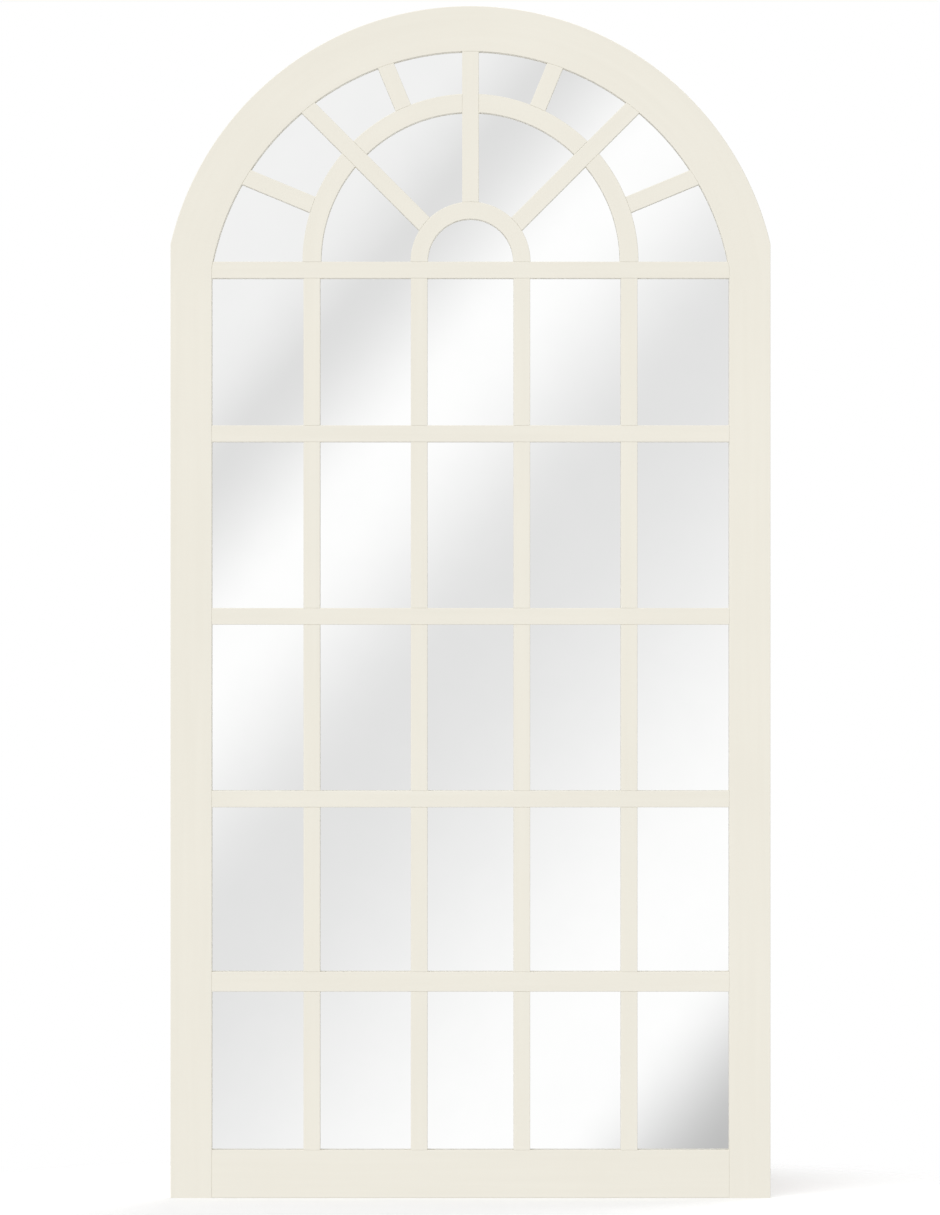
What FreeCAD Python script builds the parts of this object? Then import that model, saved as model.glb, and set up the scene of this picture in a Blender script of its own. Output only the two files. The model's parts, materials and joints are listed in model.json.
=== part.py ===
# Arched window mirror: a painted timber window frame with a fan of glazing bars in its arched head,
# glazed with one sheet of mirror and closed at the back by a board under turn buttons.
# Millimetres. X runs to the right, Y from the front of the frame to the wall, and Z up.
# The origin is the middle of the bottom edge, halfway through the depth of the frame.

import FreeCAD
import Part
import Sketcher
import os
import re

from FreeCAD import Rotation, Vector

# Driving dimensions, one spreadsheet cell each. Lengths are in millimetres and angles in degrees.
SIZES = {
    # outer frame
    "frame_width": 900.0,
    "frame_height": 1788.0,
    "frame_depth": 25.0,
    "arch_rise": 357.0,
    "stile_width": 62.0,
    "rail_height": 72.0,
    "head_width": 68.0,
    "rebate_width": 12.0,
    "edge_round": 1.0,
    # sheets in the rebate
    "glass_thick": 4.0,
    "liner_thick": 2.0,
    "board_thick": 3.0,
    "glass_clearance": 2.0,
    # glazing bars
    "bar_width": 25.0,
    "low_bar_width": 30.0,
    "transom_drop": 39.0,
    "top_row_pitch": 245.5,
    "row_pitch": 274.0,
    "inner_bar_x": 77.0,
    "outer_bar_x": 238.0,
    "hub_ring_width": 26.0,
    "fan_ring_width": 28.0,
    "spoke_pitch": 22.5,
    # joints in the timber
    "bar_tenon_length": 8.0,
    "bar_tenon_thick": 6.0,
    "tenon_shoulder": 5.0,
    "rail_tenon_length": 30.0,
    "rail_tenon_thick": 9.0,
    "rail_tenon_shoulder": 10.0,
    "crown_half_angle": 28.0,
    "foot_drop": 30.0,
    "dowel_radius": 4.0,
    "dowel_length": 40.0,
    "dowel_edge": 13.0,
    "joint_gap": 0.1,
    # turn buttons
    "button_offset": 12.0,
    "button_reach": 20.0,
    "button_width": 12.0,
    "button_thick": 1.5,
    "turning_gap": 0.08,
    "screw_radius": 1.75,
    "screw_length": 16.0,
    "screw_head_radius": 3.6,
    "screw_head_thick": 2.0,
    "screw_head_round": 1.0,
    # ring hangers
    "hanger_drop": 82.0,
    "strap_width": 14.0,
    "strap_thick": 1.5,
    "strap_length": 46.0,
    "strap_screw_first": 12.0,
    "strap_screw_pitch": 22.0,
    "ring_wire_radius": 2.0,
    "ring_half_width": 12.0,
    "ring_corner_radius": 3.5,
    "ring_side": 8.0,
    "ring_lean": 3.5,
    # wall bumpers
    "bumper_radius": 9.0,
    "bumper_tip_radius": 7.5,
    "bumper_thick": 8.0,
    "bumper_inset": 25.0,
}

# Places and sizes that follow from the driving dimensions.
LAYOUT = {
    "half_width": "frame_width / 2",
    "front": "-frame_depth / 2",
    "back": "frame_depth / 2",
    "glass_face": "back - board_thick - liner_thick - glass_thick",
    "bar_middle": "(front + glass_face) / 2",
    "bar_half": "bar_width / 2",
    "sight_half": "half_width - stile_width",
    "rebate_half": "sight_half + rebate_width",
    "arch_radius": "(half_width ^ 2 + arch_rise ^ 2) / (2 * arch_rise)",
    "arch_z": "frame_height - arch_radius",
    "sight_radius": "arch_radius - head_width",
    "rebate_radius": "sight_radius + rebate_width",
    "transom_z": "frame_height - arch_rise - transom_drop",
    "transom_top": "transom_z + bar_half",
    "transom_foot": "transom_z - bar_half",
    "foot_z": "transom_z - foot_drop",
    "hub_outer": "inner_bar_x + hub_ring_width / 2",
    "fan_outer": "outer_bar_x + fan_ring_width / 2",
    "eye_bore": "ring_wire_radius + turning_gap",
    "eye_radius": "eye_bore + strap_thick",
    "hanger_x": "half_width - (stile_width - rebate_width) / 2",
    "hanger_y": "back + eye_radius",
    "hanger_z": "foot_z - hanger_drop",
    "strap_foot": "hanger_z - strap_length",
    "button_line": "sight_half + rebate_width + button_offset",
    "button_ring": "rebate_radius + button_offset",
    "button_rail": "rail_height - rebate_width - button_offset",
}

CROSS_BARS = 4
# Two values nearer than this are taken to be the same place or direction.
SAME = 1e-6
SIDES = {"left": "-1", "right": "1"}
STILE_BUTTONS = {"low": "1", "mid": "3", "high": "5"}

doc = FreeCAD.newDocument("arched_window_mirror")
sheet = doc.addObject("Spreadsheet::Sheet", "Sizes")
for row, (alias, size) in enumerate(SIZES.items(), start=1):
    sheet.set(f"A{row}", alias)
    sheet.set(f"B{row}", str(size))
    sheet.setAlias(f"B{row}", alias)
doc.recompute()

sub_parts = {}


def linked(text):
    """Writes a formula in terms of the spreadsheet's cells."""

    def swap(match):
        word = match.group(0)
        if word in LAYOUT:
            return f"({linked(LAYOUT[word])})"
        if word in SIZES:
            return f"Sizes.{word}"
        return word

    return re.sub(r"[A-Za-z_]\w*", swap, str(text))


def value(text):
    """Works a formula out as a number."""
    return float(sheet.evalExpression(linked(text)))


def bind(item, formulas):
    """Binds properties of a document object to formulas."""
    for name, text in formulas.items():
        item.setExpression(name, linked(text))


def place(item, x, y, z, axis=Vector(0, 1, 0), angle="0"):
    """Puts an object at a point, turned about an axis."""
    item.Placement.Rotation = Rotation(axis, value(angle))
    bind(item, {"Placement.Base.x": x, "Placement.Base.y": y, "Placement.Base.z": z})
    bind(item, {"Placement.Rotation.Angle": angle})


def span(low, high):
    """The length from one formula to another."""
    return f"({high}) - ({low})"


def box(name, x, y, z):
    """A block between low and high values of x, y and z."""
    block = doc.addObject("Part::Box", name)
    bind(block, {"Length": span(*x), "Width": span(*y), "Height": span(*z)})
    place(block, x[0], y[0], z[0])
    return block


def round_bar(name, radius, length, x, y, z, axis=Vector(0, 1, 0), angle="0"):
    """A cylinder that starts at a point and runs along its turned Z axis."""
    rod = doc.addObject("Part::Cylinder", name)
    bind(rod, {"Radius": radius, "Height": length})
    place(rod, x, y, z, axis, angle)
    return rod


def peg(name, radius, x, z, y):
    """A cylinder through the depth of the frame, between low and high values of y."""
    return round_bar(name, radius, span(*y), x, y[0], z, Vector(1, 0, 0), "-90")


def joined(name, items):
    """One solid from several."""
    fuse = doc.addObject("Part::MultiFuse", name)
    fuse.Shapes = items
    fuse.Refine = True
    return fuse


def grouped(name, items):
    """Separate solids kept together in one object."""
    group = doc.addObject("Part::Compound", name)
    group.Links = items
    return group


def cut(name, base, tools):
    """A solid less one or more others."""
    less = doc.addObject("Part::Cut", name)
    less.Base = base
    less.Tool = tools[0] if len(tools) == 1 else joined(f"{name}_cutters", tools)
    less.Refine = True
    return less


def shared(name, one, other):
    """The space that two solids share."""
    common = doc.addObject("Part::Common", name)
    common.Base = one
    common.Tool = other
    common.Refine = True
    return common


def mirrored(name, source):
    """The same piece on the other side of the frame's middle."""
    twin = doc.addObject("Part::Mirroring", name)
    twin.Source = source
    twin.Normal = Vector(1, 0, 0)
    return twin


def eased(name, source, chosen):
    """Rounds those edges of the front face that a test picks."""
    doc.recompute()
    face = value("front")
    radius = value("edge_round")
    picked = []
    for number, edge in enumerate(source.Shape.Edges, start=1):
        reach = edge.BoundBox
        flat = abs(reach.YMin - face) < SAME and abs(reach.YMax - face) < SAME
        if flat and chosen(edge):
            picked.append((number, radius, radius))
    fillet = doc.addObject("Part::Fillet", name)
    fillet.Base = source
    fillet.Edges = picked
    return fillet


def runs_along(direction):
    """A test for straight edges that run in a direction."""

    def test(edge):
        straight = isinstance(edge.Curve, Part.Line)
        return straight and abs(edge.tangentAt(edge.FirstParameter).dot(direction)) > 1 - SAME

    return test


def is_arc(edge):
    """A test for round edges."""
    return isinstance(edge.Curve, Part.Circle)


def either(*tests):
    """A test that passes where any of several does."""
    return lambda edge: any(test(edge) for test in tests)


def keep(name, item):
    """Names an object as one of the finished sub-parts."""
    item.Label = name
    sub_parts[name] = item
    return item


class Ray:
    """A line across the front of the frame, from a point, at an angle clockwise from upright."""

    def __init__(self, x, z, angle):
        self.x = x
        self.z = z
        self.angle = angle

    def point(self, across, along):
        """The x and z of a point beside the line and along it."""
        x = f"({self.x}) + ({across}) * cos({self.angle}) + ({along}) * sin({self.angle})"
        z = f"({self.z}) - ({across}) * sin({self.angle}) + ({along}) * cos({self.angle})"
        return x, z

    def box(self, name, across, along, y):
        """A block beside the line, between low and high values across, along and in depth."""
        block = doc.addObject("Part::Box", name)
        bind(block, {"Length": span(*across), "Width": span(*y), "Height": span(*along)})
        x, z = self.point(across[0], along[0])
        place(block, x, y[0], z, angle=self.angle)
        return block

    def cross_rod(self, name, radius, length, along):
        """A cylinder square to the line, centred on it and on the depth of the frame."""
        x, z = self.point(f"-({length}) / 2", along)
        return round_bar(name, radius, length, x, "0", z, angle=f"{self.angle} + 90")

    def reach(self, radius, centre_rise):
        """How far along the line a circle lies whose centre is above the line's start."""
        side = f"(({centre_rise}) * sin({self.angle}))"
        return f"(({centre_rise}) * cos({self.angle}) + sqrt(({radius}) ^ 2 - {side} ^ 2))"

    def bar(self, name, along, width="bar_width"):
        """A square-edged glazing bar on the line."""
        return self.box(name, (f"-{width} / 2", f"{width} / 2"), along, ("front", "glass_face"))

    def tenon(self, name, along, width="bar_width", gap="0"):
        """A stub tenon on the line, or its mortise where a gap is given."""
        half = f"({width}) / 2 - tenon_shoulder + {gap}"
        thick = f"bar_tenon_thick / 2 + {gap}"
        y = (f"bar_middle - ({thick})", f"bar_middle + ({thick})")
        return self.box(name, (f"-({half})", half), along, y)

    def direction(self):
        """The line's direction in the document."""
        return Rotation(Vector(0, 1, 0), value(self.angle)).multVec(Vector(0, 0, 1))


def upright_line(x):
    """The centre line of an upright bar."""
    return Ray(x, "0", "0")


def level_line(z):
    """The centre line of a level bar, from the middle to the right."""
    return Ray("0", z, "90")


def spoke_line(steps):
    """The centre line of a fan spoke, counted in spoke pitches from upright."""
    return Ray("0", "transom_z", f"({steps} * spoke_pitch)")


def arch_line(angle):
    """A radius of the arch."""
    return Ray("0", "arch_z", f"({angle})")


def cross_bar_z(number):
    """The height of a cross bar's centre line, counted down from the transom."""
    return f"transom_z - top_row_pitch - {number} * row_pitch"


def cross_bar_width(number):
    """The width of a cross bar, of which the lowest is wider than the rest."""
    return "low_bar_width" if number == CROSS_BARS - 1 else "bar_width"


# How far the middles of the rings and of the arch lie above the point where the spokes meet.
FAN_ABOVE = "bar_half"
ARCH_ABOVE = "arch_z - transom_z"
UPRIGHTS = {
    "outer_left": "-outer_bar_x",
    "inner_left": "-inner_bar_x",
    "inner_right": "inner_bar_x",
    "outer_right": "outer_bar_x",
}
THROUGH_SPOKES = {"left": -2, "centre": 0, "right": 2}
SHORT_SPOKES = {"left_low": -3, "left_high": -1, "right_high": 1, "right_low": 3}


def mortise_end(far):
    """How far a mortise goes in from the face at a formula's value."""
    return f"{far} + bar_tenon_length + joint_gap"


def section(body, name, points):
    """A closed sketch on a body's YZ plane, with each corner bound to two formulas."""
    sketch = body.newObject("Sketcher::SketchObject", name)
    plane = next(item for item in body.Origin.OriginFeatures if item.Role == "YZ_Plane")
    sketch.AttachmentSupport = [(plane, "")]
    sketch.MapMode = "FlatFace"
    corners = [Vector(value(y), value(z), 0) for y, z in points]
    count = len(corners)
    for index in range(count):
        sketch.addGeometry(Part.LineSegment(corners[index], corners[(index + 1) % count]))
    for index in range(count):
        sketch.addConstraint(Sketcher.Constraint("Coincident", index, 2, (index + 1) % count, 1))
    for index, (y, z) in enumerate(points):
        for kind, text in (("DistanceX", y), ("DistanceY", z)):
            rule = Sketcher.Constraint(kind, -1, 1, index, 1, value(text))
            bind(sketch, {f"Constraints[{sketch.addConstraint(rule)}]": text})
    return sketch


def turned_ring(name, points, sweep):
    """A section turned about the Y axis, by equal angles each side of upright."""
    body = doc.addObject("PartDesign::Body", name)
    sketch = section(body, f"{name}_section", points)
    turn = body.newObject("PartDesign::Revolution", f"{name}_turn")
    turn.Profile = sketch
    turn.ReferenceAxis = (sketch, ["H_Axis"])
    turn.Midplane = True
    bind(turn, {"Angle": sweep})
    return body


def padded_section(name, points, length):
    """A section pushed out along X."""
    body = doc.addObject("PartDesign::Body", name)
    pad = body.newObject("PartDesign::Pad", f"{name}_pad")
    pad.Profile = section(body, f"{name}_section", points)
    bind(pad, {"Length": length})
    return body


def button_seats():
    """The place of every turn button: the piece that carries it, and the line that it points along."""
    seats = {}
    for side, sign in SIDES.items():
        for level, sixths in STILE_BUTTONS.items():
            z = f"rail_height + (strap_foot - rail_height) * {sixths} / 6"
            seats[f"{side}_{level}"] = (f"{side}_stile", Ray(f"{sign} * button_line", z, f"(-90 * {sign})"))
        seats[f"rail_{side}"] = ("bottom_rail", Ray(f"{sign} * outer_bar_x", "button_rail", "(0)"))
        for piece, angle in (("shoulder", "(crown_half_angle + 90) / 2"), ("crown", "crown_half_angle / 2")):
            carrier = "head_crown" if piece == "crown" else f"head_{side}"
            x, z = arch_line(f"{sign} * {angle}").point("0", "button_ring")
            seats[f"{piece}_{side}"] = (carrier, Ray(x, z, f"({sign} * {angle} + 180)"))
    return seats


SEATS = button_seats()


def pilot_holes(carrier):
    """Holes in one timber for the screws of its turn buttons."""
    holes = []
    for seat, (owner, line) in SEATS.items():
        if owner == carrier:
            y = ("back - screw_length - joint_gap", "back + joint_gap")
            holes.append(peg(f"{seat}_pilot", "screw_radius + joint_gap", line.x, line.z, y))
    return holes


def strap_screw_places():
    """The heights of the screws in a hanger strap."""
    return [f"hanger_z - strap_screw_first - {number} * strap_screw_pitch" for number in range(2)]


def dowel(name, line, along, gap="0"):
    """A dowel across a joint on a radius of the arch, or its hole where a gap is given."""
    return line.cross_rod(name, f"dowel_radius + {gap}", f"dowel_length + 2 * {gap}", along)


def foot_dowel(name, x, gap="0"):
    """A dowel across the joint between a stile and the head, or its hole where a gap is given."""
    length = f"dowel_length + 2 * {gap}"
    return round_bar(name, f"dowel_radius + {gap}", length, x, "0", f"foot_z - ({length}) / 2")


CROWN_DOWELS = {"inner": "rebate_radius + dowel_edge", "outer": "arch_radius - dowel_edge"}
FOOT_DOWELS = {"inner": "rebate_half + dowel_edge", "outer": "half_width - dowel_edge"}


def crown_joint(side):
    """The radius of the arch where the crown meets one side of the head."""
    return arch_line(f"{SIDES[side]} * crown_half_angle")


def crown_holes(owner, side):
    """Dowel holes in one of the two pieces that meet at a crown joint."""
    return [
        dowel(f"{owner}_{side}_{place_name}_hole", crown_joint(side), along, "joint_gap")
        for place_name, along in CROWN_DOWELS.items()
    ]


def foot_holes(owner):
    """Dowel holes in one of the two pieces that meet at the left foot of the head."""
    return [
        foot_dowel(f"{owner}_foot_{place_name}_hole", f"-({x})", "joint_gap")
        for place_name, x in FOOT_DOWELS.items()
    ]


def make_stiles():
    """The two uprights of the frame, rebated at the back for the glass."""
    blank = box("stile_blank", ("-half_width", "-sight_half"), ("front", "back"), ("0", "foot_z"))
    rebate = box("stile_rebate", ("-rebate_half", "-sight_half"), ("glass_face", "back"), ("0", "foot_z"))
    tools = [rebate]
    for number in range(CROSS_BARS):
        line = level_line(cross_bar_z(number))
        along = (f"-({mortise_end('sight_half')})", "-sight_half")
        tools.append(line.tenon(f"stile_mortise_{number + 1}", along, cross_bar_width(number), "joint_gap"))
    tools.append(rail_tenon("stile_rail_mortise", "joint_gap"))
    tools += pilot_holes("left_stile") + foot_holes("stile")
    for number, z in enumerate(strap_screw_places(), start=1):
        y = ("back - screw_length - joint_gap", "back + joint_gap")
        tools.append(peg(f"hanger_pilot_{number}", "screw_radius + joint_gap", "-hanger_x", z, y))
    stile = cut("stile_cut", blank, tools)
    left = keep("left_stile", eased("left_stile", stile, runs_along(Vector(0, 0, 1))))
    keep("right_stile", mirrored("right_stile", left))


def rail_tenon(name, gap="0"):
    """The left tenon of the bottom rail, or its mortise where a gap is given."""
    x = (f"-sight_half - rail_tenon_length - {gap}", "-sight_half")
    y = (f"-rail_tenon_thick / 2 - {gap}", f"rail_tenon_thick / 2 + {gap}")
    top = f"rail_height - rebate_width - rail_tenon_shoulder + {gap}"
    return box(name, x, y, (f"rail_tenon_shoulder - {gap}", top))


def make_bottom_rail():
    """The bottom of the frame, tenoned into the stiles, with its back shoulders let into their rebates."""
    points = [
        ("front", "0"),
        ("back", "0"),
        ("back", "rail_height - rebate_width"),
        ("glass_face", "rail_height - rebate_width"),
        ("glass_face", "rail_height"),
        ("front", "rail_height"),
    ]
    body = padded_section("rail_body", points, "2 * sight_half")
    place(body, "-sight_half", "0", "0")
    left = rail_tenon("rail_tenon_left")
    long_shoulder = box(
        "rail_long_shoulder",
        ("-rebate_half", "rebate_half"),
        ("glass_face", "back"),
        ("0", "rail_height - rebate_width"),
    )
    rail = joined("rail_joined", [body, long_shoulder, left, mirrored("rail_tenon_right", left)])
    tools = pilot_holes("bottom_rail")
    for name, x in UPRIGHTS.items():
        along = ("rail_height - bar_tenon_length - joint_gap", "rail_height")
        tools.append(upright_line(x).tenon(f"rail_mortise_{name}", along, gap="joint_gap"))
    rail = cut("rail_cut", rail, tools)
    keep("bottom_rail", eased("bottom_rail", rail, runs_along(Vector(1, 0, 0))))


def arch_disc(name, radius, y):
    """A disc about the middle of the arch."""
    return peg(name, radius, "0", "arch_z", y)


def arched_block(name, half, radius, x_high, y, low):
    """A block with straight sides and the round top of the arch, from its left side to a value of x."""
    x = (f"-({half})", x_high)
    blank = box(f"{name}_block", x, y, (low, "frame_height"))
    above = box(f"{name}_above", x, y, ("arch_z", "frame_height"))
    corners = cut(f"{name}_corners", above, [arch_disc(f"{name}_disc", radius, y)])
    return cut(name, blank, [corners])


def head_mortises(owner, steps):
    """Mortises in a piece of the head for the spokes that end in it."""
    tools = []
    for step in steps:
        line = spoke_line(step)
        far = line.reach("sight_radius", ARCH_ABOVE)
        along = (f"{far} - bar_half", mortise_end(far))
        tools.append(line.tenon(f"{owner}_mortise_{step + 3}", along, gap="joint_gap"))
    return tools


def make_head():
    """The arched head: two shouldered sides that stand on the stiles, and the crown between them."""
    depth = ("front", "back")
    outline = arched_block("shoulder_outline", "half_width", "arch_radius", "0", depth, "foot_z")
    tools = [
        arched_block("shoulder_sight", "sight_half", "sight_radius", "0", depth, "foot_z"),
        arched_block("shoulder_rebate", "rebate_half", "rebate_radius", "0", ("glass_face", "back"), "foot_z"),
        arch_line("-crown_half_angle").box("crown_side", ("0", "frame_width"), ("0", "frame_height"), depth),
    ]
    along = (f"-({mortise_end('sight_half')})", "bar_half - sight_half")
    tools.append(level_line("transom_z").tenon("head_transom_mortise", along, gap="joint_gap"))
    tools += head_mortises("head_left", (-3, -2))
    tools += pilot_holes("head_left") + foot_holes("head") + crown_holes("head", "left")
    shoulder = cut("head_left_cut", outline, tools)
    rounded = either(is_arc, runs_along(Vector(0, 0, 1)))
    left = keep("head_left", eased("head_left", shoulder, rounded))
    keep("head_right", mirrored("head_right", left))

    points = [
        ("front", "sight_radius"),
        ("glass_face", "sight_radius"),
        ("glass_face", "rebate_radius"),
        ("back", "rebate_radius"),
        ("back", "arch_radius"),
        ("front", "arch_radius"),
    ]
    body = turned_ring("crown_body", points, "2 * crown_half_angle")
    place(body, "0", "0", "arch_z")
    tools = head_mortises("head_crown", (-1, 0, 1)) + pilot_holes("head_crown")
    tools += crown_holes("crown", "left") + crown_holes("crown", "right")
    keep("head_crown", eased("head_crown", cut("crown_cut", body, tools), is_arc))


def make_dowels():
    """Dowels that pin the head's three pieces to each other and to the stiles."""
    crown = [
        dowel(f"crown_dowel_{side}_{name}", crown_joint(side), along)
        for side in SIDES
        for name, along in CROWN_DOWELS.items()
    ]
    keep("crown_dowels", grouped("crown_dowels", crown))
    foot = [
        foot_dowel(f"foot_dowel_{side}_{name}", f"{sign} * ({x})")
        for side, sign in SIDES.items()
        for name, x in FOOT_DOWELS.items()
    ]
    keep("foot_dowels", grouped("foot_dowels", foot))


def make_cross_bars():
    """The level glazing bars, halved at the back where the uprights pass."""
    for number in range(CROSS_BARS):
        name = f"cross_bar_{number + 1}"
        line = level_line(cross_bar_z(number))
        width = cross_bar_width(number)
        across = (f"-{width} / 2", f"{width} / 2")
        blank = line.bar(f"{name}_blank", ("-sight_half", "sight_half"), width)
        along = ("-sight_half - bar_tenon_length", "sight_half + bar_tenon_length")
        tongue = line.tenon(f"{name}_tenons", along, width)
        bar = joined(f"{name}_joined", [blank, tongue])
        halvings = [
            line.box(f"{name}_{upright}", across, (f"{x} - bar_half", f"{x} + bar_half"),
                     ("bar_middle", "glass_face"))
            for upright, x in UPRIGHTS.items()
        ]
        bar = cut(f"{name}_cut", bar, halvings)
        keep(name, eased(name, bar, runs_along(Vector(1, 0, 0))))


def make_upright_bars():
    """The upright glazing bars, halved at the front where the cross bars pass."""
    for upright, x in UPRIGHTS.items():
        name = f"upright_bar_{upright}"
        line = upright_line(x)
        blank = line.bar(f"{name}_blank", ("rail_height", "transom_foot"))
        tongue = line.tenon(
            f"{name}_tenons", ("rail_height - bar_tenon_length", "transom_foot + bar_tenon_length"))
        bar = joined(f"{name}_joined", [blank, tongue])
        halvings = []
        for number in range(CROSS_BARS):
            z = cross_bar_z(number)
            half = f"{cross_bar_width(number)} / 2"
            halvings.append(line.box(
                f"{name}_{number + 1}", ("-bar_half", "bar_half"), (f"{z} - {half}", f"{z} + {half}"),
                ("front", "bar_middle")))
        bar = cut(f"{name}_cut", bar, halvings)
        keep(name, eased(name, bar, runs_along(Vector(0, 0, 1))))


def ring_legs(name, x, width, gap="0"):
    """The tenon of a ring's leg in the top of the transom, or its mortise where a gap is given."""
    low = f"transom_top - bar_tenon_length - {gap}"
    high = "transom_top + bar_half / 2" if gap == "0" else "transom_top"
    return upright_line(x).tenon(name, (low, high), width, gap)


def make_transom():
    """The level bar at the springing of the arch, with the uprights below it and the rings above."""
    line = level_line("transom_z")
    light = arched_block(
        "transom_light", "sight_half", "sight_radius", "sight_half", ("front", "glass_face"), "foot_z")
    blank = line.bar("transom_blank", ("-sight_half", "sight_half"))
    coped = shared("transom_coped", eased("transom_eased", blank, runs_along(Vector(1, 0, 0))), light)
    tongue = line.tenon("transom_tenons", ("-sight_half - bar_tenon_length", "sight_half + bar_tenon_length"))
    tools = []
    for name, x in UPRIGHTS.items():
        along = ("transom_foot", mortise_end("transom_foot"))
        tools.append(upright_line(x).tenon(f"transom_mortise_{name}", along, gap="joint_gap"))
        width = "hub_ring_width" if name.startswith("inner") else "fan_ring_width"
        tools.append(ring_legs(f"transom_ring_mortise_{name}", x, width, "joint_gap"))
    keep("transom_bar", cut("transom_bar", joined("transom_joined", [coped, tongue]), tools))


def ring_section(middle, width):
    """The square section of a ring of glazing bar."""
    inner = f"{middle} - {width} / 2"
    outer = f"{middle} + {width} / 2"
    return [("front", inner), ("glass_face", inner), ("glass_face", outer), ("front", outer)]


def make_hub_ring():
    """The half ring at the middle of the fan."""
    body = turned_ring("hub_body", ring_section("inner_bar_x", "hub_ring_width"), "180")
    place(body, "0", "0", "transom_top")
    legs = [ring_legs(f"hub_leg_{side}", f"{sign} * inner_bar_x", "hub_ring_width")
            for side, sign in SIDES.items()]
    tools = []
    for name, step in THROUGH_SPOKES.items():
        line = spoke_line(step)
        far = line.reach("hub_outer", FAN_ABOVE)
        along = (f"{far} - bar_tenon_length - joint_gap", f"{far} + bar_half")
        tools.append(line.tenon(f"hub_mortise_{name}", along, gap="joint_gap"))
    ring = cut("hub_cut", joined("hub_joined", [body, *legs]), tools)
    keep("hub_ring", eased("hub_ring", ring, is_arc))


def ring_tongue(name, step, side, gap="0"):
    """The tenon of a fan ring's end in the side of a spoke, or its mortise where a gap is given."""
    line = spoke_line(step)
    middle = line.reach("outer_bar_x", FAN_ABOVE)
    half = f"fan_ring_width / 2 - tenon_shoulder + {gap}"
    deep = f"bar_half - bar_tenon_length - {gap}"
    high = "bar_half + bar_half / 2" if gap == "0" else "bar_half"
    across = (deep, high) if side > 0 else (f"-({high})", f"-({deep})")
    thick = f"bar_tenon_thick / 2 + {gap}"
    y = (f"bar_middle - ({thick})", f"bar_middle + ({thick})")
    return line.box(name, across, (f"{middle} - ({half})", f"{middle} + ({half})"), y)


def make_fan_rings():
    """The four pieces of the large half ring, tenoned between the through spokes and the transom."""
    for side, sign in (("left", -1), ("right", 1)):
        for level in ("low", "high"):
            name = f"fan_ring_{side}_{level}"
            spoke = f"{sign} * 2 * spoke_pitch"
            end = f"{sign} * 90" if level == "low" else "0"
            points = ring_section("outer_bar_x", "fan_ring_width")
            body = turned_ring(f"{name}_body", points, f"abs({end} - {spoke})")
            place(body, "0", "0", "transom_top", angle=f"({end} + {spoke}) / 2")
            tongues = [ring_tongue(f"{name}_tongue", 2 * sign, sign if level == "low" else -sign)]
            passing = [2 * sign]
            if level == "low":
                tongues.append(ring_legs(f"{name}_leg", f"{sign} * outer_bar_x", "fan_ring_width"))
            else:
                tongues.append(ring_tongue(f"{name}_top_tongue", 0, sign))
                passing.append(0)
            trims = [
                spoke_line(step).bar(f"{name}_trim_{step + 2}", ("0", "arch_radius")) for step in passing
            ]
            ring = joined(f"{name}_joined", [cut(f"{name}_trimmed", body, trims), *tongues])
            line = spoke_line(3 * sign if level == "low" else sign)
            far = line.reach("fan_outer", FAN_ABOVE)
            along = (f"{far} - bar_tenon_length - joint_gap", f"{far} + bar_half")
            mortise = line.tenon(f"{name}_mortise", along, gap="joint_gap")
            keep(name, eased(name, cut(f"{name}_cut", ring, [mortise]), is_arc))


def make_spokes():
    """The spokes of the fan, coped to the rings and to the head, with a stub tenon at each end."""
    lengths = {name: (step, "hub_outer") for name, step in THROUGH_SPOKES.items()}
    lengths.update({name: (step, "fan_outer") for name, step in SHORT_SPOKES.items()})
    for key, (step, ring) in lengths.items():
        through = key in THROUGH_SPOKES
        name = f"spoke_{key}" if through else f"short_spoke_{key}"
        line = spoke_line(step)
        near = line.reach(ring, FAN_ABOVE)
        far = line.reach("sight_radius", ARCH_ABOVE)
        light = arch_disc(f"{name}_light", "sight_radius", ("front", "glass_face"))
        blank = shared(f"{name}_coped", line.bar(f"{name}_blank", ("0", "arch_radius")), light)
        disc = peg(f"{name}_disc", ring, "0", "transom_top", ("front", "glass_face"))
        bar = cut(f"{name}_cut", blank, [disc])
        tongue = line.tenon(f"{name}_tenons", (f"{near} - bar_tenon_length", f"{far} + bar_tenon_length"))
        bar = joined(f"{name}_joined", [bar, tongue])
        if through:
            tools = [ring_tongue(f"{name}_mortise_{side + 1}", step, side, "joint_gap") for side in (-1, 1)]
            bar = cut(f"{name}_mortised", bar, tools)
        keep(name, eased(name, bar, runs_along(line.direction())))


def make_sheets():
    """The mirror, the card behind it and the backing board, which share one arched outline."""
    faces = ["glass_face", "glass_face + glass_thick", "back - board_thick", "back"]
    half = "(rebate_half - glass_clearance)"
    for number, name in enumerate(("mirror_glass", "card_liner", "backing_board")):
        y = (faces[number], faces[number + 1])
        low = "rail_height - rebate_width + glass_clearance"
        keep(name, arched_block(name, half, "rebate_radius - glass_clearance", half, y, low))


def screw(name, x, z, seat):
    """A round-headed screw whose head bears at a depth behind the frame."""
    head = peg(f"{name}_head", "screw_head_radius", x, z, (seat, f"{seat} + screw_head_thick"))
    shank = peg(f"{name}_shank", "screw_radius", x, z, ("back - screw_length", seat))
    whole = joined(f"{name}_whole", [head, shank])
    doc.recompute()
    rim = value(f"{seat} + screw_head_thick")
    radius = value("screw_head_round")
    fillet = doc.addObject("Part::Fillet", name)
    fillet.Base = whole
    fillet.Edges = [
        (number, radius, radius)
        for number, edge in enumerate(whole.Shape.Edges, start=1)
        if is_arc(edge) and abs(edge.Curve.Center.y - rim) < SAME
    ]
    return fillet


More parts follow.
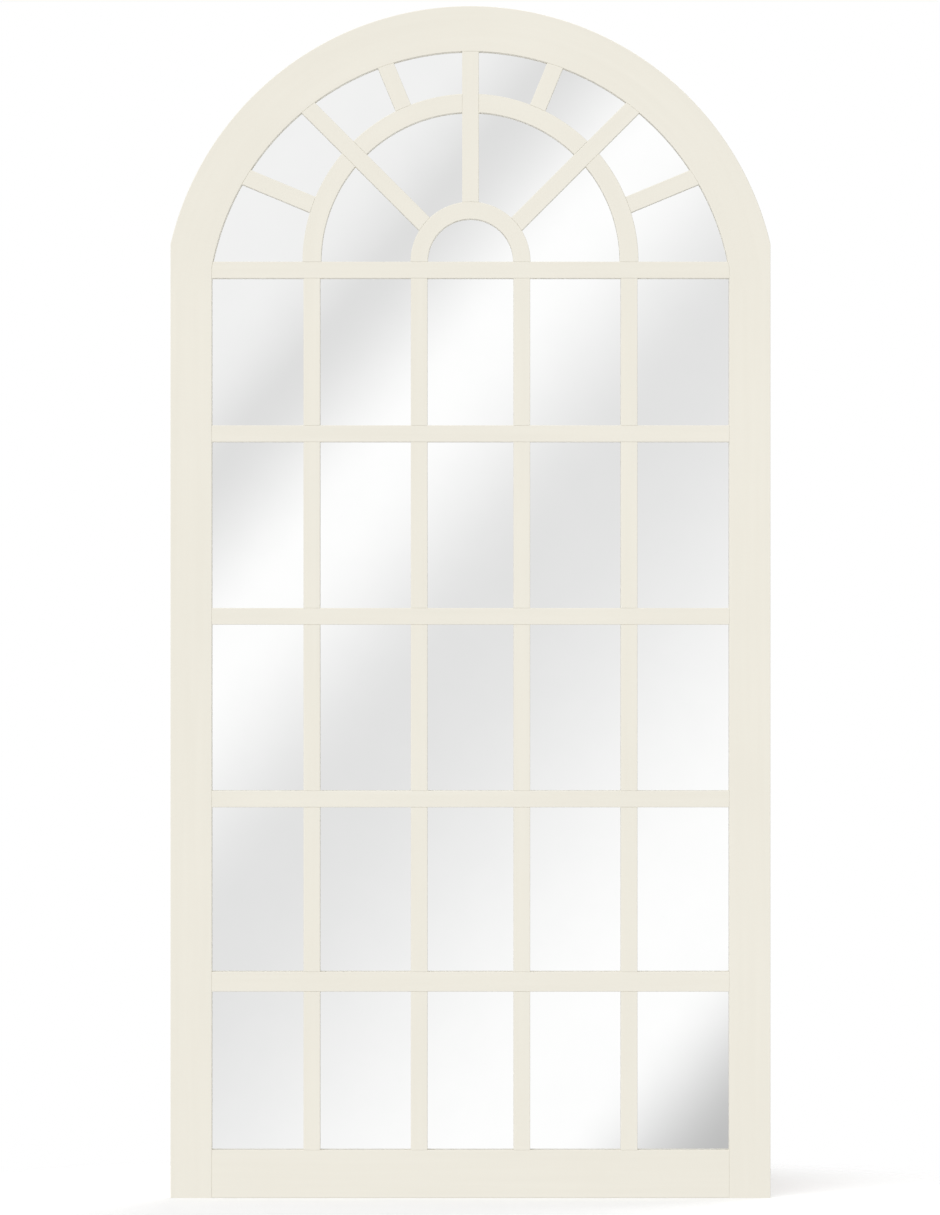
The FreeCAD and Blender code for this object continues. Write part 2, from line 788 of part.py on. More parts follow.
def make_turn_buttons():
    """Turn buttons that hold the board in, each free to turn on its screw."""
    screws = []
    for seat, (_, line) in SEATS.items():
        name = f"turn_button_{seat}"
        y = ("back", "back + button_thick")
        tip_x, tip_z = line.point("0", "button_reach")
        blade = joined(f"{name}_blade", [
            line.box(f"{name}_strip", ("-button_width / 2", "button_width / 2"), ("0", "button_reach"), y),
            peg(f"{name}_heel", "button_width / 2", line.x, line.z, y),
            peg(f"{name}_tip", "button_width / 2", tip_x, tip_z, y),
        ])
        hole = peg(f"{name}_hole", "screw_radius + turning_gap", line.x, line.z, y)
        keep(name, cut(name, blade, [hole]))
        screws.append(screw(f"button_screw_{seat}", line.x, line.z, "(back + button_thick + turning_gap)"))
    keep("button_screws", grouped("button_screws", screws))


def cross_pin(name, radius, x):
    """A cylinder along a ring's pivot, between low and high values of x."""
    return round_bar(name, radius, span(*x), x[0], "hanger_y", "hanger_z", angle="90")


def make_hangers():
    """A strap with a rolled eye on each stile, and the ring that swings in it."""
    screws = []
    for side, sign in SIDES.items():
        middle = f"({sign} * hanger_x)"
        x = (f"{middle} - strap_width / 2", f"{middle} + strap_width / 2")
        y = ("back", "back + strap_thick")
        end_z = "strap_foot + strap_width / 2"
        strap = joined(f"{side}_strap_joined", [
            box(f"{side}_strap_plate", x, y, (end_z, "hanger_z")),
            peg(f"{side}_strap_end", "strap_width / 2", middle, end_z, y),
            cross_pin(f"{side}_strap_eye", "eye_radius", x),
        ])
        tools = [cross_pin(f"{side}_eye_bore", "eye_bore", x)]
        for number, z in enumerate(strap_screw_places(), start=1):
            tools.append(peg(f"{side}_strap_hole_{number}", "screw_radius + joint_gap", middle, z, y))
            screws.append(screw(f"hanger_screw_{side}_{number}", middle, z, "(back + strap_thick)"))
        keep(f"{side}_hanger_strap", cut(f"{side}_hanger_strap", strap, tools))
        keep(f"{side}_hanger_ring", hanger_ring(side, middle))
    keep("hanger_screws", grouped("hanger_screws", screws))


def arc_of_wire(name, radius, sweep, x, z, start):
    """A bend of the ring's wire in the XZ plane, from an angle that is counted from X towards Z."""
    bend = doc.addObject("Part::Torus", name)
    bind(bend, {"Radius1": radius, "Radius2": "ring_wire_radius", "Angle3": sweep})
    turn = Rotation(Vector(0, -1, 0), start) * Rotation(Vector(1, 0, 0), 90)
    bend.Placement.Rotation = turn
    bind(bend, {"Placement.Base.x": x, "Placement.Base.z": z})
    return bend


def hanger_ring(side, middle):
    """A D ring of round wire, standing up from its eye and leaning a little on the frame."""
    name = f"{side}_ring"
    corner = "ring_corner_radius"
    straight = "2 * (ring_half_width - ring_corner_radius)"
    wire = [
        round_bar(f"{name}_axle", "ring_wire_radius", straight, f"-({straight}) / 2", "0", "0", angle="90"),
        arc_of_wire(f"{name}_bow", "ring_half_width", "180", "0", f"{corner} + ring_side", 0),
    ]
    for edge, sign, start in (("left", "-1", 180), ("right", "1", 270)):
        corner_x = f"{sign} * (ring_half_width - {corner})"
        wire.append(arc_of_wire(f"{name}_corner_{edge}", corner, "90", corner_x, corner, start))
        wire.append(round_bar(
            f"{name}_side_{edge}", "ring_wire_radius", "ring_side", f"{sign} * ring_half_width", "0", corner))
    ring = joined(f"{side}_hanger_ring", wire)
    place(ring, middle, "hanger_y", "hanger_z", Vector(1, 0, 0), "ring_lean")
    return ring


def make_bumpers():
    """Soft bumpers at the bottom corners, which rest on the wall."""
    bumpers = []
    for side, sign in SIDES.items():
        bumper = doc.addObject("Part::Cone", f"bumper_{side}")
        bind(bumper, {"Radius1": "bumper_radius", "Radius2": "bumper_tip_radius", "Height": "bumper_thick"})
        place(bumper, f"{sign} * (half_width - bumper_inset)", "back", "bumper_inset", Vector(1, 0, 0), "-90")
        bumpers.append(bumper)
    keep("wall_bumpers", grouped("wall_bumpers", bumpers))


def check_and_write():
    """Stops on any failed object or bad shape, then writes one STEP file for each sub-part."""
    doc.recompute()
    for item in doc.Objects:
        if "Invalid" in item.State or "Error" in item.State:
            raise RuntimeError(f"{item.Name} failed: {item.State}")
    for name, item in sub_parts.items():
        if item.Shape.isNull() or not item.Shape.isValid() or not item.Shape.Solids:
            raise RuntimeError(f"{name} is not a valid solid")
    os.makedirs("parts", exist_ok=True)
    for name, item in sub_parts.items():
        item.Shape.exportStep(os.path.join("parts", f"{name}.step"))
        print(f"{name}: {len(item.Shape.Solids)} solids, {item.Shape.Volume / 1000:.1f} cm3")


make_stiles()
make_bottom_rail()
make_head()
make_dowels()
make_cross_bars()
make_upright_bars()
make_transom()
make_hub_ring()
make_fan_rings()
make_spokes()
make_sheets()
make_turn_buttons()
make_hangers()
make_bumpers()
check_and_write()
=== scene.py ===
"""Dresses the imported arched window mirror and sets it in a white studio.

The timber is painted cream, laid off along each piece with a brush. The mirror is one silvered
sheet behind the bars, and what it shows is the soft light of the studio. Screws, turn buttons and
wall bumpers are turned from outlines. The hanger straps have their edges eased, and every other
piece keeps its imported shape.
"""

import json
import logging
import math
from abc import ABC, abstractmethod
from dataclasses import dataclass
from enum import Enum
from functools import cache

import bmesh
import bpy
from mathutils import Matrix, Vector


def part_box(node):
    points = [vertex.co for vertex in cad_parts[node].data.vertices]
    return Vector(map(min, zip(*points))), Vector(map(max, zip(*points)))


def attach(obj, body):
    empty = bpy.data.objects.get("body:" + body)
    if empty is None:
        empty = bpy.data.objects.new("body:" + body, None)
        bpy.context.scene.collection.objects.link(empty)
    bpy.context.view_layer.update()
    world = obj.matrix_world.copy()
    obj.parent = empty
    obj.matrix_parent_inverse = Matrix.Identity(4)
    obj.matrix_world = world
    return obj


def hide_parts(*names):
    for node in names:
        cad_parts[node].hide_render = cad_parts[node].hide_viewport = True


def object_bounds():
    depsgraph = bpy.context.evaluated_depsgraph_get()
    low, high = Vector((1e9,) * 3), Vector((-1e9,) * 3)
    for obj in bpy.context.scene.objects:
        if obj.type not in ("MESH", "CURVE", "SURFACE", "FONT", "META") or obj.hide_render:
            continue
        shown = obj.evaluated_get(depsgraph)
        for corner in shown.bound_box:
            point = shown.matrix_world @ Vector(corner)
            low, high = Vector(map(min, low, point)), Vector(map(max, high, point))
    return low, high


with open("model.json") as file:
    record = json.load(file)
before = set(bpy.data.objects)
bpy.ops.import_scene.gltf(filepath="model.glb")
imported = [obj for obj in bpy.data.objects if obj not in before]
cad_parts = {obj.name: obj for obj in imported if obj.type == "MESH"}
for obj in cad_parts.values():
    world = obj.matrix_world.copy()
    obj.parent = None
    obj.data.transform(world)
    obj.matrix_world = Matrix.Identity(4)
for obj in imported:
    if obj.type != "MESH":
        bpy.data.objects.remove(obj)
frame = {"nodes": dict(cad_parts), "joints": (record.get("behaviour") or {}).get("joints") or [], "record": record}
CAD_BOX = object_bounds()

MM = 0.001
FRAME_BODY = "frame"
QUARTER_TURN = math.pi / 2
OPAQUE = 1.0
WHITE = (1.0, 1.0, 1.0, OPAQUE)
WELD_DISTANCE = 0.002 * MM

Link = bpy.types.NodeSocket
Value = Link | float | int | bool | str | tuple | bpy.types.ID
Colour = tuple[float, float, float]
Range = tuple[float, float]
Inputs = dict[str | int, Value]

# Where most of a noise lies, which is stretched to a share from 0 to 1.
MIDDLE: Range = (0.3, 0.7)
# How far from the middle of their cells flecks begin and end to fade, as a share of a cell.
FLECK_FADE: Range = (0.1, 0.5)
MARK_DETAIL = 3.0
MARK_ROUGHNESS = 0.6
CLOUD_DETAIL = 4.0

log = logging.getLogger("arched_window_mirror")


class Slot(Enum):
    """The record's slots for the finishes of new pieces; nothing here reads them."""

    STEEL = "zinc_steel"
    RUBBER = "bumper_rubber"


class Tree(Enum):
    """The kinds of node tree."""

    SHADER = "ShaderNodeTree"
    GEOMETRY = "GeometryNodeTree"


class Socket(Enum):
    """The kinds of socket that node groups have."""

    FLOAT = "NodeSocketFloat"
    INTEGER = "NodeSocketInt"
    VECTOR = "NodeSocketVector"
    GEOMETRY = "NodeSocketGeometry"
    OBJECT = "NodeSocketObject"
    MATERIAL = "NodeSocketMaterial"


class Graph:
    """Adds nodes to a node tree and links them."""

    # A Mix node has sockets for every kind of data, and these are the ones for colours.
    MIX_ONE, MIX_OTHER, MIX_RESULT = 6, 7, 2

    def __init__(self, tree: bpy.types.NodeTree) -> None:
        """Takes the tree to build in."""
        self.tree = tree

    def feed(self, socket: Link, value: Value) -> None:
        """Links a socket, or sets it where the value is plain.

        Args:
            socket: The input to feed.
            value: Another node's output, or a plain value.
        """
        if isinstance(value, Link):
            self.tree.links.new(value, socket)
        else:
            socket.default_value = value

    def add(self, kind: str, inputs: Inputs | None = None, **settings: object) -> bpy.types.Node:
        """Adds one node.

        Args:
            kind: The node's type.
            inputs: What each input gets, by its name or number.
            settings: The node's own settings.

        Returns:
            The new node.
        """
        node = self.tree.nodes.new(kind)
        for setting, choice in settings.items():
            setattr(node, setting, choice)
        for key, value in (inputs or {}).items():
            self.feed(node.inputs[key], value)
        return node

    def shape(self, kind: str, inputs: Inputs, **settings: object) -> Link:
        """Adds one node that changes geometry, and gives what comes out of it."""
        return self.add(kind, inputs, **settings).outputs[0]

    def math(self, operation: str, *terms: Value) -> Link:
        """Works out a number from one, two or three others."""
        return self.add("ShaderNodeMath", dict(enumerate(terms)), operation=operation).outputs[0]

    def total(self, *terms: tuple[Link, float]) -> Link:
        """Adds up numbers by their weights.

        Args:
            terms: Each number with its weight.

        Returns:
            The weighted total.
        """
        total: Value = 0.0
        for value, weight in terms:
            total = self.math("MULTIPLY_ADD", value, weight, total)
        return total

    def vector(self, x: Value, y: Value, z: Value) -> Link:
        """Makes a vector of three numbers."""
        return self.add("ShaderNodeCombineXYZ", {0: x, 1: y, 2: z}).outputs[0]

    def parts(self, vector: Value) -> list[Link]:
        """Takes a vector apart into three numbers."""
        return list(self.add("ShaderNodeSeparateXYZ", {0: vector}).outputs)

    def length(self, one: Link, other: Link) -> Link:
        """Works out the length of a line from its rise and its run."""
        square = self.math("MULTIPLY", other, other)
        return self.math("SQRT", self.math("MULTIPLY_ADD", one, one, square))

    def ramp(
        self, value: Value, start: float, stop: float, low: float = 0.0, high: float = 1.0
    ) -> Link:
        """Eases from one number to another.

        Args:
            value: The number that drives it.
            start: Where the easing begins.
            stop: Where the easing ends.
            low: The result before the start.
            high: The result after the stop.

        Returns:
            The eased number.
        """
        inputs = {
            "Value": value,
            "From Min": start,
            "From Max": stop,
            "To Min": low,
            "To Max": high,
        }
        node = self.add("ShaderNodeMapRange", inputs, interpolation_type="SMOOTHSTEP")
        return node.outputs["Result"]

    def share(self, noise: Link) -> Link:
        """Stretches the middle of a noise to a share from 0 to 1."""
        return self.ramp(noise, *MIDDLE)

    def blend(self, share: Link, one: Colour, other: Colour) -> Link:
        """Mixes two colours by a share that changes over the surface."""
        inputs = {"Factor": share, self.MIX_ONE: (*one, OPAQUE), self.MIX_OTHER: (*other, OPAQUE)}
        return self.add("ShaderNodeMix", inputs, data_type="RGBA").outputs[self.MIX_RESULT]

    def place(self) -> Link:
        """Finds the place on the piece, in metres."""
        return self.add("ShaderNodeTexCoord").outputs["Object"]

    def bump(self, height: Link, relief: float) -> Link:
        """Tilts the surface by a height that changes over it, as deep as the relief."""
        return self.add("ShaderNodeBump", {"Height": height, "Distance": relief}).outputs["Normal"]

    def effect(self, group: bpy.types.NodeTree, **inputs: Value) -> Link:
        """Places a node group.

        Args:
            group: The group.
            inputs: What each of its inputs gets, by its name.

        Returns:
            The group's output.
        """
        node = self.add("ShaderNodeGroup", node_tree=group)
        for name, value in inputs.items():
            self.feed(node.inputs[name], value)
        return node.outputs[0]


def new_group(
    name: str, kind: Tree, inputs: dict[str, Socket], outputs: dict[str, Socket]
) -> tuple[Graph, bpy.types.NodeOutputs, bpy.types.NodeInputs]:
    """Starts a node group.

    Args:
        name: The group's name.
        kind: The kind of its tree.
        inputs: The kind of each input socket, by name.
        outputs: The kind of each output socket, by name.

    Returns:
        The group's graph, the sockets that it is given and the sockets that it has to feed.
    """
    tree = bpy.data.node_groups.new(name, kind.value)
    for way, sockets in (("INPUT", inputs), ("OUTPUT", outputs)):
        for socket, socket_kind in sockets.items():
            tree.interface.new_socket(name=socket, in_out=way, socket_type=socket_kind.value)
    graph = Graph(tree)
    return graph, graph.add("NodeGroupInput").outputs, graph.add("NodeGroupOutput").inputs


@cache
def stroke_marks() -> bpy.types.NodeTree:
    """Builds fine marks that run along Z, as a brush, a rolling mill or the grain leaves them.

    Returns:
        A node group of the marks' strength.
    """
    sockets = {"Vector": Socket.VECTOR, "Width": Socket.FLOAT, "Length": Socket.FLOAT}
    strength = {"Marks": Socket.FLOAT}
    graph, given, result = new_group("stroke_marks", Tree.SHADER, sockets, strength)
    size = graph.vector(given["Width"], given["Width"], given["Length"])
    stretched = graph.add("ShaderNodeVectorMath", {0: given["Vector"], 1: size}, operation="DIVIDE")
    grain = {"Scale": 1.0, "Detail": MARK_DETAIL, "Roughness": MARK_ROUGHNESS}
    noise = graph.add("ShaderNodeTexNoise", {"Vector": stretched.outputs[0], **grain})
    graph.feed(result["Marks"], noise.outputs["Fac"])
    return graph.tree


@cache
def cloud_tone() -> bpy.types.NodeTree:
    """Builds a soft uneven tone.

    Returns:
        A node group of the tone's strength, in clouds of a given size.
    """
    sockets = {"Vector": Socket.VECTOR, "Size": Socket.FLOAT}
    strength = {"Tone": Socket.FLOAT}
    graph, given, result = new_group("cloud_tone", Tree.SHADER, sockets, strength)
    scale = graph.math("DIVIDE", 1.0, given["Size"])
    inputs = {"Vector": given["Vector"], "Scale": scale, "Detail": CLOUD_DETAIL}
    graph.feed(result["Tone"], graph.add("ShaderNodeTexNoise", inputs).outputs["Fac"])
    return graph.tree


@cache
def fine_flecks() -> bpy.types.NodeTree:
    """Builds scattered flecks.

    Returns:
        A node group of the flecks' strength, in cells of a given size.
    """
    sockets = {"Vector": Socket.VECTOR, "Size": Socket.FLOAT}
    strength = {"Flecks": Socket.FLOAT}
    graph, given, result = new_group("fine_flecks", Tree.SHADER, sockets, strength)
    scale = graph.math("DIVIDE", 1.0, given["Size"])
    cells = graph.add("ShaderNodeTexVoronoi", {"Vector": given["Vector"], "Scale": scale})
    flecks = graph.ramp(cells.outputs["Distance"], *FLECK_FADE, low=1.0, high=0.0)
    graph.feed(result["Flecks"], flecks)
    return graph.tree


@cache
def round_a_centre() -> bpy.types.NodeTree:
    """Builds coordinates that bend a straight pattern round a centre on the frame's middle line.

    Returns:
        A node group of places whose X runs outwards and whose Z runs along the curve.
    """
    sockets = {"Vector": Socket.VECTOR, "Centre": Socket.FLOAT, "Radius": Socket.FLOAT}
    bent = {"Vector": Socket.VECTOR}
    graph, given, result = new_group("round_a_centre", Tree.SHADER, sockets, bent)
    x, y, z = graph.parts(given["Vector"])
    rise = graph.math("SUBTRACT", z, given["Centre"])
    along = graph.math("MULTIPLY", graph.math("ARCTAN2", x, rise), given["Radius"])
    graph.feed(result["Vector"], graph.vector(graph.length(x, rise), y, along))
    return graph.tree


class Run(Enum):
    """The ways that most timbers of the frame run, in degrees clockwise from upright."""

    UPRIGHT = 0.0
    LEVEL = 90.0


class Lay(ABC):
    """The way that a finish is laid on a timber."""

    @abstractmethod
    def along(self, graph: Graph) -> Link:
        """Gives the place on the piece, with Z along the timber."""


@dataclass(frozen=True)
class StraightLay(Lay):
    """A finish laid straight, at an angle in degrees clockwise from upright."""

    angle: float

    def along(self, graph: Graph) -> Link:
        """Turns the place on the piece so that Z runs along the timber."""
        inputs = {"Vector": graph.place(), "Rotation": (0.0, -math.radians(self.angle), 0.0)}
        return graph.add("ShaderNodeMapping", inputs).outputs[0]


@dataclass(frozen=True)
class RoundLay(Lay):
    """A finish laid along a curve, about a centre at a height on the frame's middle line."""

    centre: float
    radius: float

    def along(self, graph: Graph) -> Link:
        """Bends the place on the piece so that Z runs along the curve."""
        place = graph.place()
        return graph.effect(round_a_centre(), Vector=place, Centre=self.centre, Radius=self.radius)


@dataclass(frozen=True)
class Surface:
    """What changes over a finish: shares of its second colour and roughness, and its height."""

    tone: Link
    sheen: Link
    height: Link


@dataclass(frozen=True, kw_only=True)
class Finish(ABC):
    """A finish of the object, which makes one material between two colours and two roughnesses."""

    name: str
    colours: tuple[Colour, Colour]
    roughness: Range
    relief: float
    metallic: float = 0.0

    @abstractmethod
    def surface(self, graph: Graph) -> Surface:
        """Lays out what changes over the finish."""

    def clouds(self, graph: Graph, size: float) -> Link:
        """Spreads soft clouds of a size over the piece."""
        return graph.effect(cloud_tone(), Vector=graph.place(), Size=size)

    def flecks(self, graph: Graph, size: float) -> Link:
        """Scatters flecks of a size over the piece."""
        return graph.effect(fine_flecks(), Vector=graph.place(), Size=size)

    def marks(self, graph: Graph, along: Link, width: float, length: float) -> Link:
        """Draws marks of a width and a length, where Z runs along them."""
        return graph.effect(stroke_marks(), Vector=along, Width=width, Length=length)

    def material(self) -> bpy.types.Material:
        """Makes the material, or finds it where it is made already.

        Returns:
            The finish's material.
        """
        found = bpy.data.materials.get(self.name)
        if found:
            return found
        made = bpy.data.materials.new(self.name)
        made.use_nodes = True
        graph = Graph(made.node_tree)
        surface = self.surface(graph)
        shader = made.node_tree.nodes["Principled BSDF"].inputs
        smooth, rough = self.roughness
        dullness = graph.math("MULTIPLY_ADD", surface.sheen, rough - smooth, smooth)
        shader["Metallic"].default_value = self.metallic
        graph.feed(shader["Base Color"], graph.blend(surface.tone, *self.colours))
        graph.feed(shader["Roughness"], dullness)
        graph.feed(shader["Normal"], graph.bump(surface.height, self.relief))
        return made


@dataclass(frozen=True, kw_only=True)
class BrushedPaint(Finish):
    """Satin cream paint, laid off along the timber with a brush."""

    lay: Lay
    colours: tuple[Colour, Colour] = ((0.868, 0.836, 0.743), (0.842, 0.809, 0.715))
    roughness: Range = (0.36, 0.50)
    relief: float = 0.06 * MM
    tone_size: float = 240 * MM
    stroke_width: float = 14 * MM
    stroke_length: float = 420 * MM
    bristle_width: float = 1.1 * MM
    bristle_length: float = 70 * MM
    peel_size: float = 2.2 * MM
    stroke_share: float = 0.5
    tone_share: float = 0.5
    bristle_share: float = 0.7
    peel_share: float = 0.3

    def surface(self, graph: Graph) -> Surface:
        """Lays broad strokes in the colour, and bristle marks with a fine peel in the surface.

        Args:
            graph: The material's graph.

        Returns:
            The painted surface.
        """
        along = self.lay.along(graph)
        strokes = self.marks(graph, along, self.stroke_width, self.stroke_length)
        bristles = self.marks(graph, along, self.bristle_width, self.bristle_length)
        tone = self.clouds(graph, self.tone_size)
        peel = self.clouds(graph, self.peel_size)
        colour = graph.total((strokes, self.stroke_share), (tone, self.tone_share))
        return Surface(
            tone=graph.share(colour),
            sheen=graph.share(bristles),
            height=graph.total((bristles, self.bristle_share), (peel, self.peel_share)),
        )


@dataclass(frozen=True, kw_only=True)
class SilveredGlass(Finish):
    """Float glass silvered at the back, with a trace of ripple and dust."""

    colours: tuple[Colour, Colour] = ((0.964, 0.966, 0.963), (0.955, 0.958, 0.955))
    roughness: Range = (0.004, 0.016)
    relief: float = 0.008 * MM
    metallic: float = 1.0
    dust_size: float = 60 * MM
    ripple_size: float = 300 * MM

    def surface(self, graph: Graph) -> Surface:
        """Dulls the mirror a little in clouds of dust, over a faint ripple."""
        dust = graph.share(self.clouds(graph, self.dust_size))
        return Surface(tone=dust, sheen=dust, height=self.clouds(graph, self.ripple_size))


@dataclass(frozen=True, kw_only=True)
class Hardboard(Finish):
    """Brown hardboard, with the mark of the press screen on its back."""

    colours: tuple[Colour, Colour] = ((0.330, 0.200, 0.106), (0.228, 0.129, 0.062))
    roughness: Range = (0.62, 0.82)
    relief: float = 0.12 * MM
    patch_size: float = 170 * MM
    fibre_size: float = 0.8 * MM
    fleck_size: float = 2.4 * MM
    screen_pitch: float = 1.9 * MM
    fibre_share: float = 0.68
    patch_share: float = 0.25
    fleck_share: float = 0.07
    screen_share: float = 0.35

    def surface(self, graph: Graph) -> Surface:
        """Mixes patches, fibres and flecks, and presses the screen's weave into them.

        Args:
            graph: The material's graph.

        Returns:
            The board's surface.
        """
        patches = self.clouds(graph, self.patch_size)
        fibres = self.clouds(graph, self.fibre_size)
        flecks = self.flecks(graph, self.fleck_size)
        x, _, z = graph.parts(graph.place())
        turns = [graph.math("MULTIPLY", way, math.tau / self.screen_pitch) for way in (x, z)]
        screen = graph.math("MULTIPLY", *[graph.math("SINE", turn) for turn in turns])
        colour = graph.total(
            (fibres, self.fibre_share), (patches, self.patch_share), (flecks, self.fleck_share)
        )
        return Surface(
            tone=graph.share(colour),
            sheen=graph.share(fibres),
            height=graph.total((fibres, 1.0), (screen, self.screen_share)),
        )


@dataclass(frozen=True, kw_only=True)
class LinerCard(Finish):
    """Grey card of waste paper."""

    colours: tuple[Colour, Colour] = ((0.47, 0.42, 0.34), (0.36, 0.31, 0.25))
    roughness: Range = (0.8, 0.95)
    relief: float = 0.05 * MM
    fibre_size: float = 2.0 * MM
    fleck_size: float = 7.0 * MM
    fibre_share: float = 0.75
    fleck_share: float = 0.25

    def surface(self, graph: Graph) -> Surface:
        """Mixes fibres and flecks.

        Args:
            graph: The material's graph.

        Returns:
            The card's surface.
        """
        fibres = self.clouds(graph, self.fibre_size)
        flecks = self.flecks(graph, self.fleck_size)
        colour = graph.total((fibres, self.fibre_share), (flecks, self.fleck_share))
        return Surface(tone=graph.share(colour), sheen=graph.share(fibres), height=fibres)


@dataclass(frozen=True, kw_only=True)
class TurnedBeech(Finish):
    """Bare turned beech with its short flecks."""

    colours: tuple[Colour, Colour] = ((0.62, 0.44, 0.27), (0.48, 0.30, 0.16))
    roughness: Range = (0.55, 0.7)
    relief: float = 0.03 * MM
    grain_width: float = 0.6 * MM
    grain_length: float = 18 * MM
    fleck_size: float = 1.5 * MM
    grain_share: float = 0.8
    fleck_share: float = 0.2

    def surface(self, graph: Graph) -> Surface:
        """Mixes grain and flecks.

        Args:
            graph: The material's graph.

        Returns:
            The wood's surface.
        """
        grain = self.marks(graph, graph.place(), self.grain_width, self.grain_length)
        flecks = self.flecks(graph, self.fleck_size)
        colour = graph.total((grain, self.grain_share), (flecks, self.fleck_share))
        return Surface(tone=graph.share(colour), sheen=graph.share(grain), height=grain)


@dataclass(frozen=True, kw_only=True)
class ZincPlate(Finish):
    """Bright zinc on rolled steel, faintly clouded and scratched."""

    colours: tuple[Colour, Colour] = ((0.74, 0.75, 0.765), (0.60, 0.615, 0.635))
    roughness: Range = (0.22, 0.38)
    relief: float = 0.006 * MM
    metallic: float = 1.0
    cloud_size: float = 5.0 * MM
    scratch_width: float = 0.22 * MM
    scratch_length: float = 9.0 * MM

    def surface(self, graph: Graph) -> Surface:
        """Clouds the colour and the shine, with fine scratches along Z.

        Args:
            graph: The material's graph.

        Returns:
            The metal's surface.
        """
        clouds = graph.share(self.clouds(graph, self.cloud_size))
        scratches = self.marks(graph, graph.place(), self.scratch_width, self.scratch_length)
        return Surface(tone=clouds, sheen=clouds, height=scratches)


@dataclass(frozen=True, kw_only=True)
class MouldedRubber(Finish):
    """Dark moulded rubber with a dusty bloom."""

    colours: tuple[Colour, Colour] = ((0.022, 0.022, 0.023), (0.052, 0.052, 0.054))
    roughness: Range = (0.58, 0.8)
    relief: float = 0.05 * MM
    bloom_size: float = 6.0 * MM
    grain_size: float = 0.7 * MM

    def surface(self, graph: Graph) -> Surface:
        """Clouds the colour with bloom and grains the surface."""
        bloom = graph.share(self.clouds(graph, self.bloom_size))
        return Surface(tone=bloom, sheen=bloom, height=self.clouds(graph, self.grain_size))


@dataclass(frozen=True)
class Turn:
    """A point of a turned outline, with the shares of the slot and of the reach that act on it."""

    radius: float
    height: float
    slot: float = 0.0
    reach: float = 0.0


def rounded(
    radius: float, height: float, ease: float, reach: float = 0.0, steps: int = 4
) -> list[Turn]:
    """Takes an outline from its top over a rounded rim to its side.

    Args:
        radius: The radius of the side.
        height: The height of the top.
        ease: The radius of the rim's rounding.
        reach: The share of the reach.
        steps: How many steps the rounding takes.

    Returns:
        The points from the top to the side.
    """
    angles = [QUARTER_TURN * step / steps for step in range(steps + 1)]
    return [
        Turn(
            radius - ease + ease * math.sin(angle),
            height - ease + ease * math.cos(angle),
            reach=reach,
        )
        for angle in angles
    ]


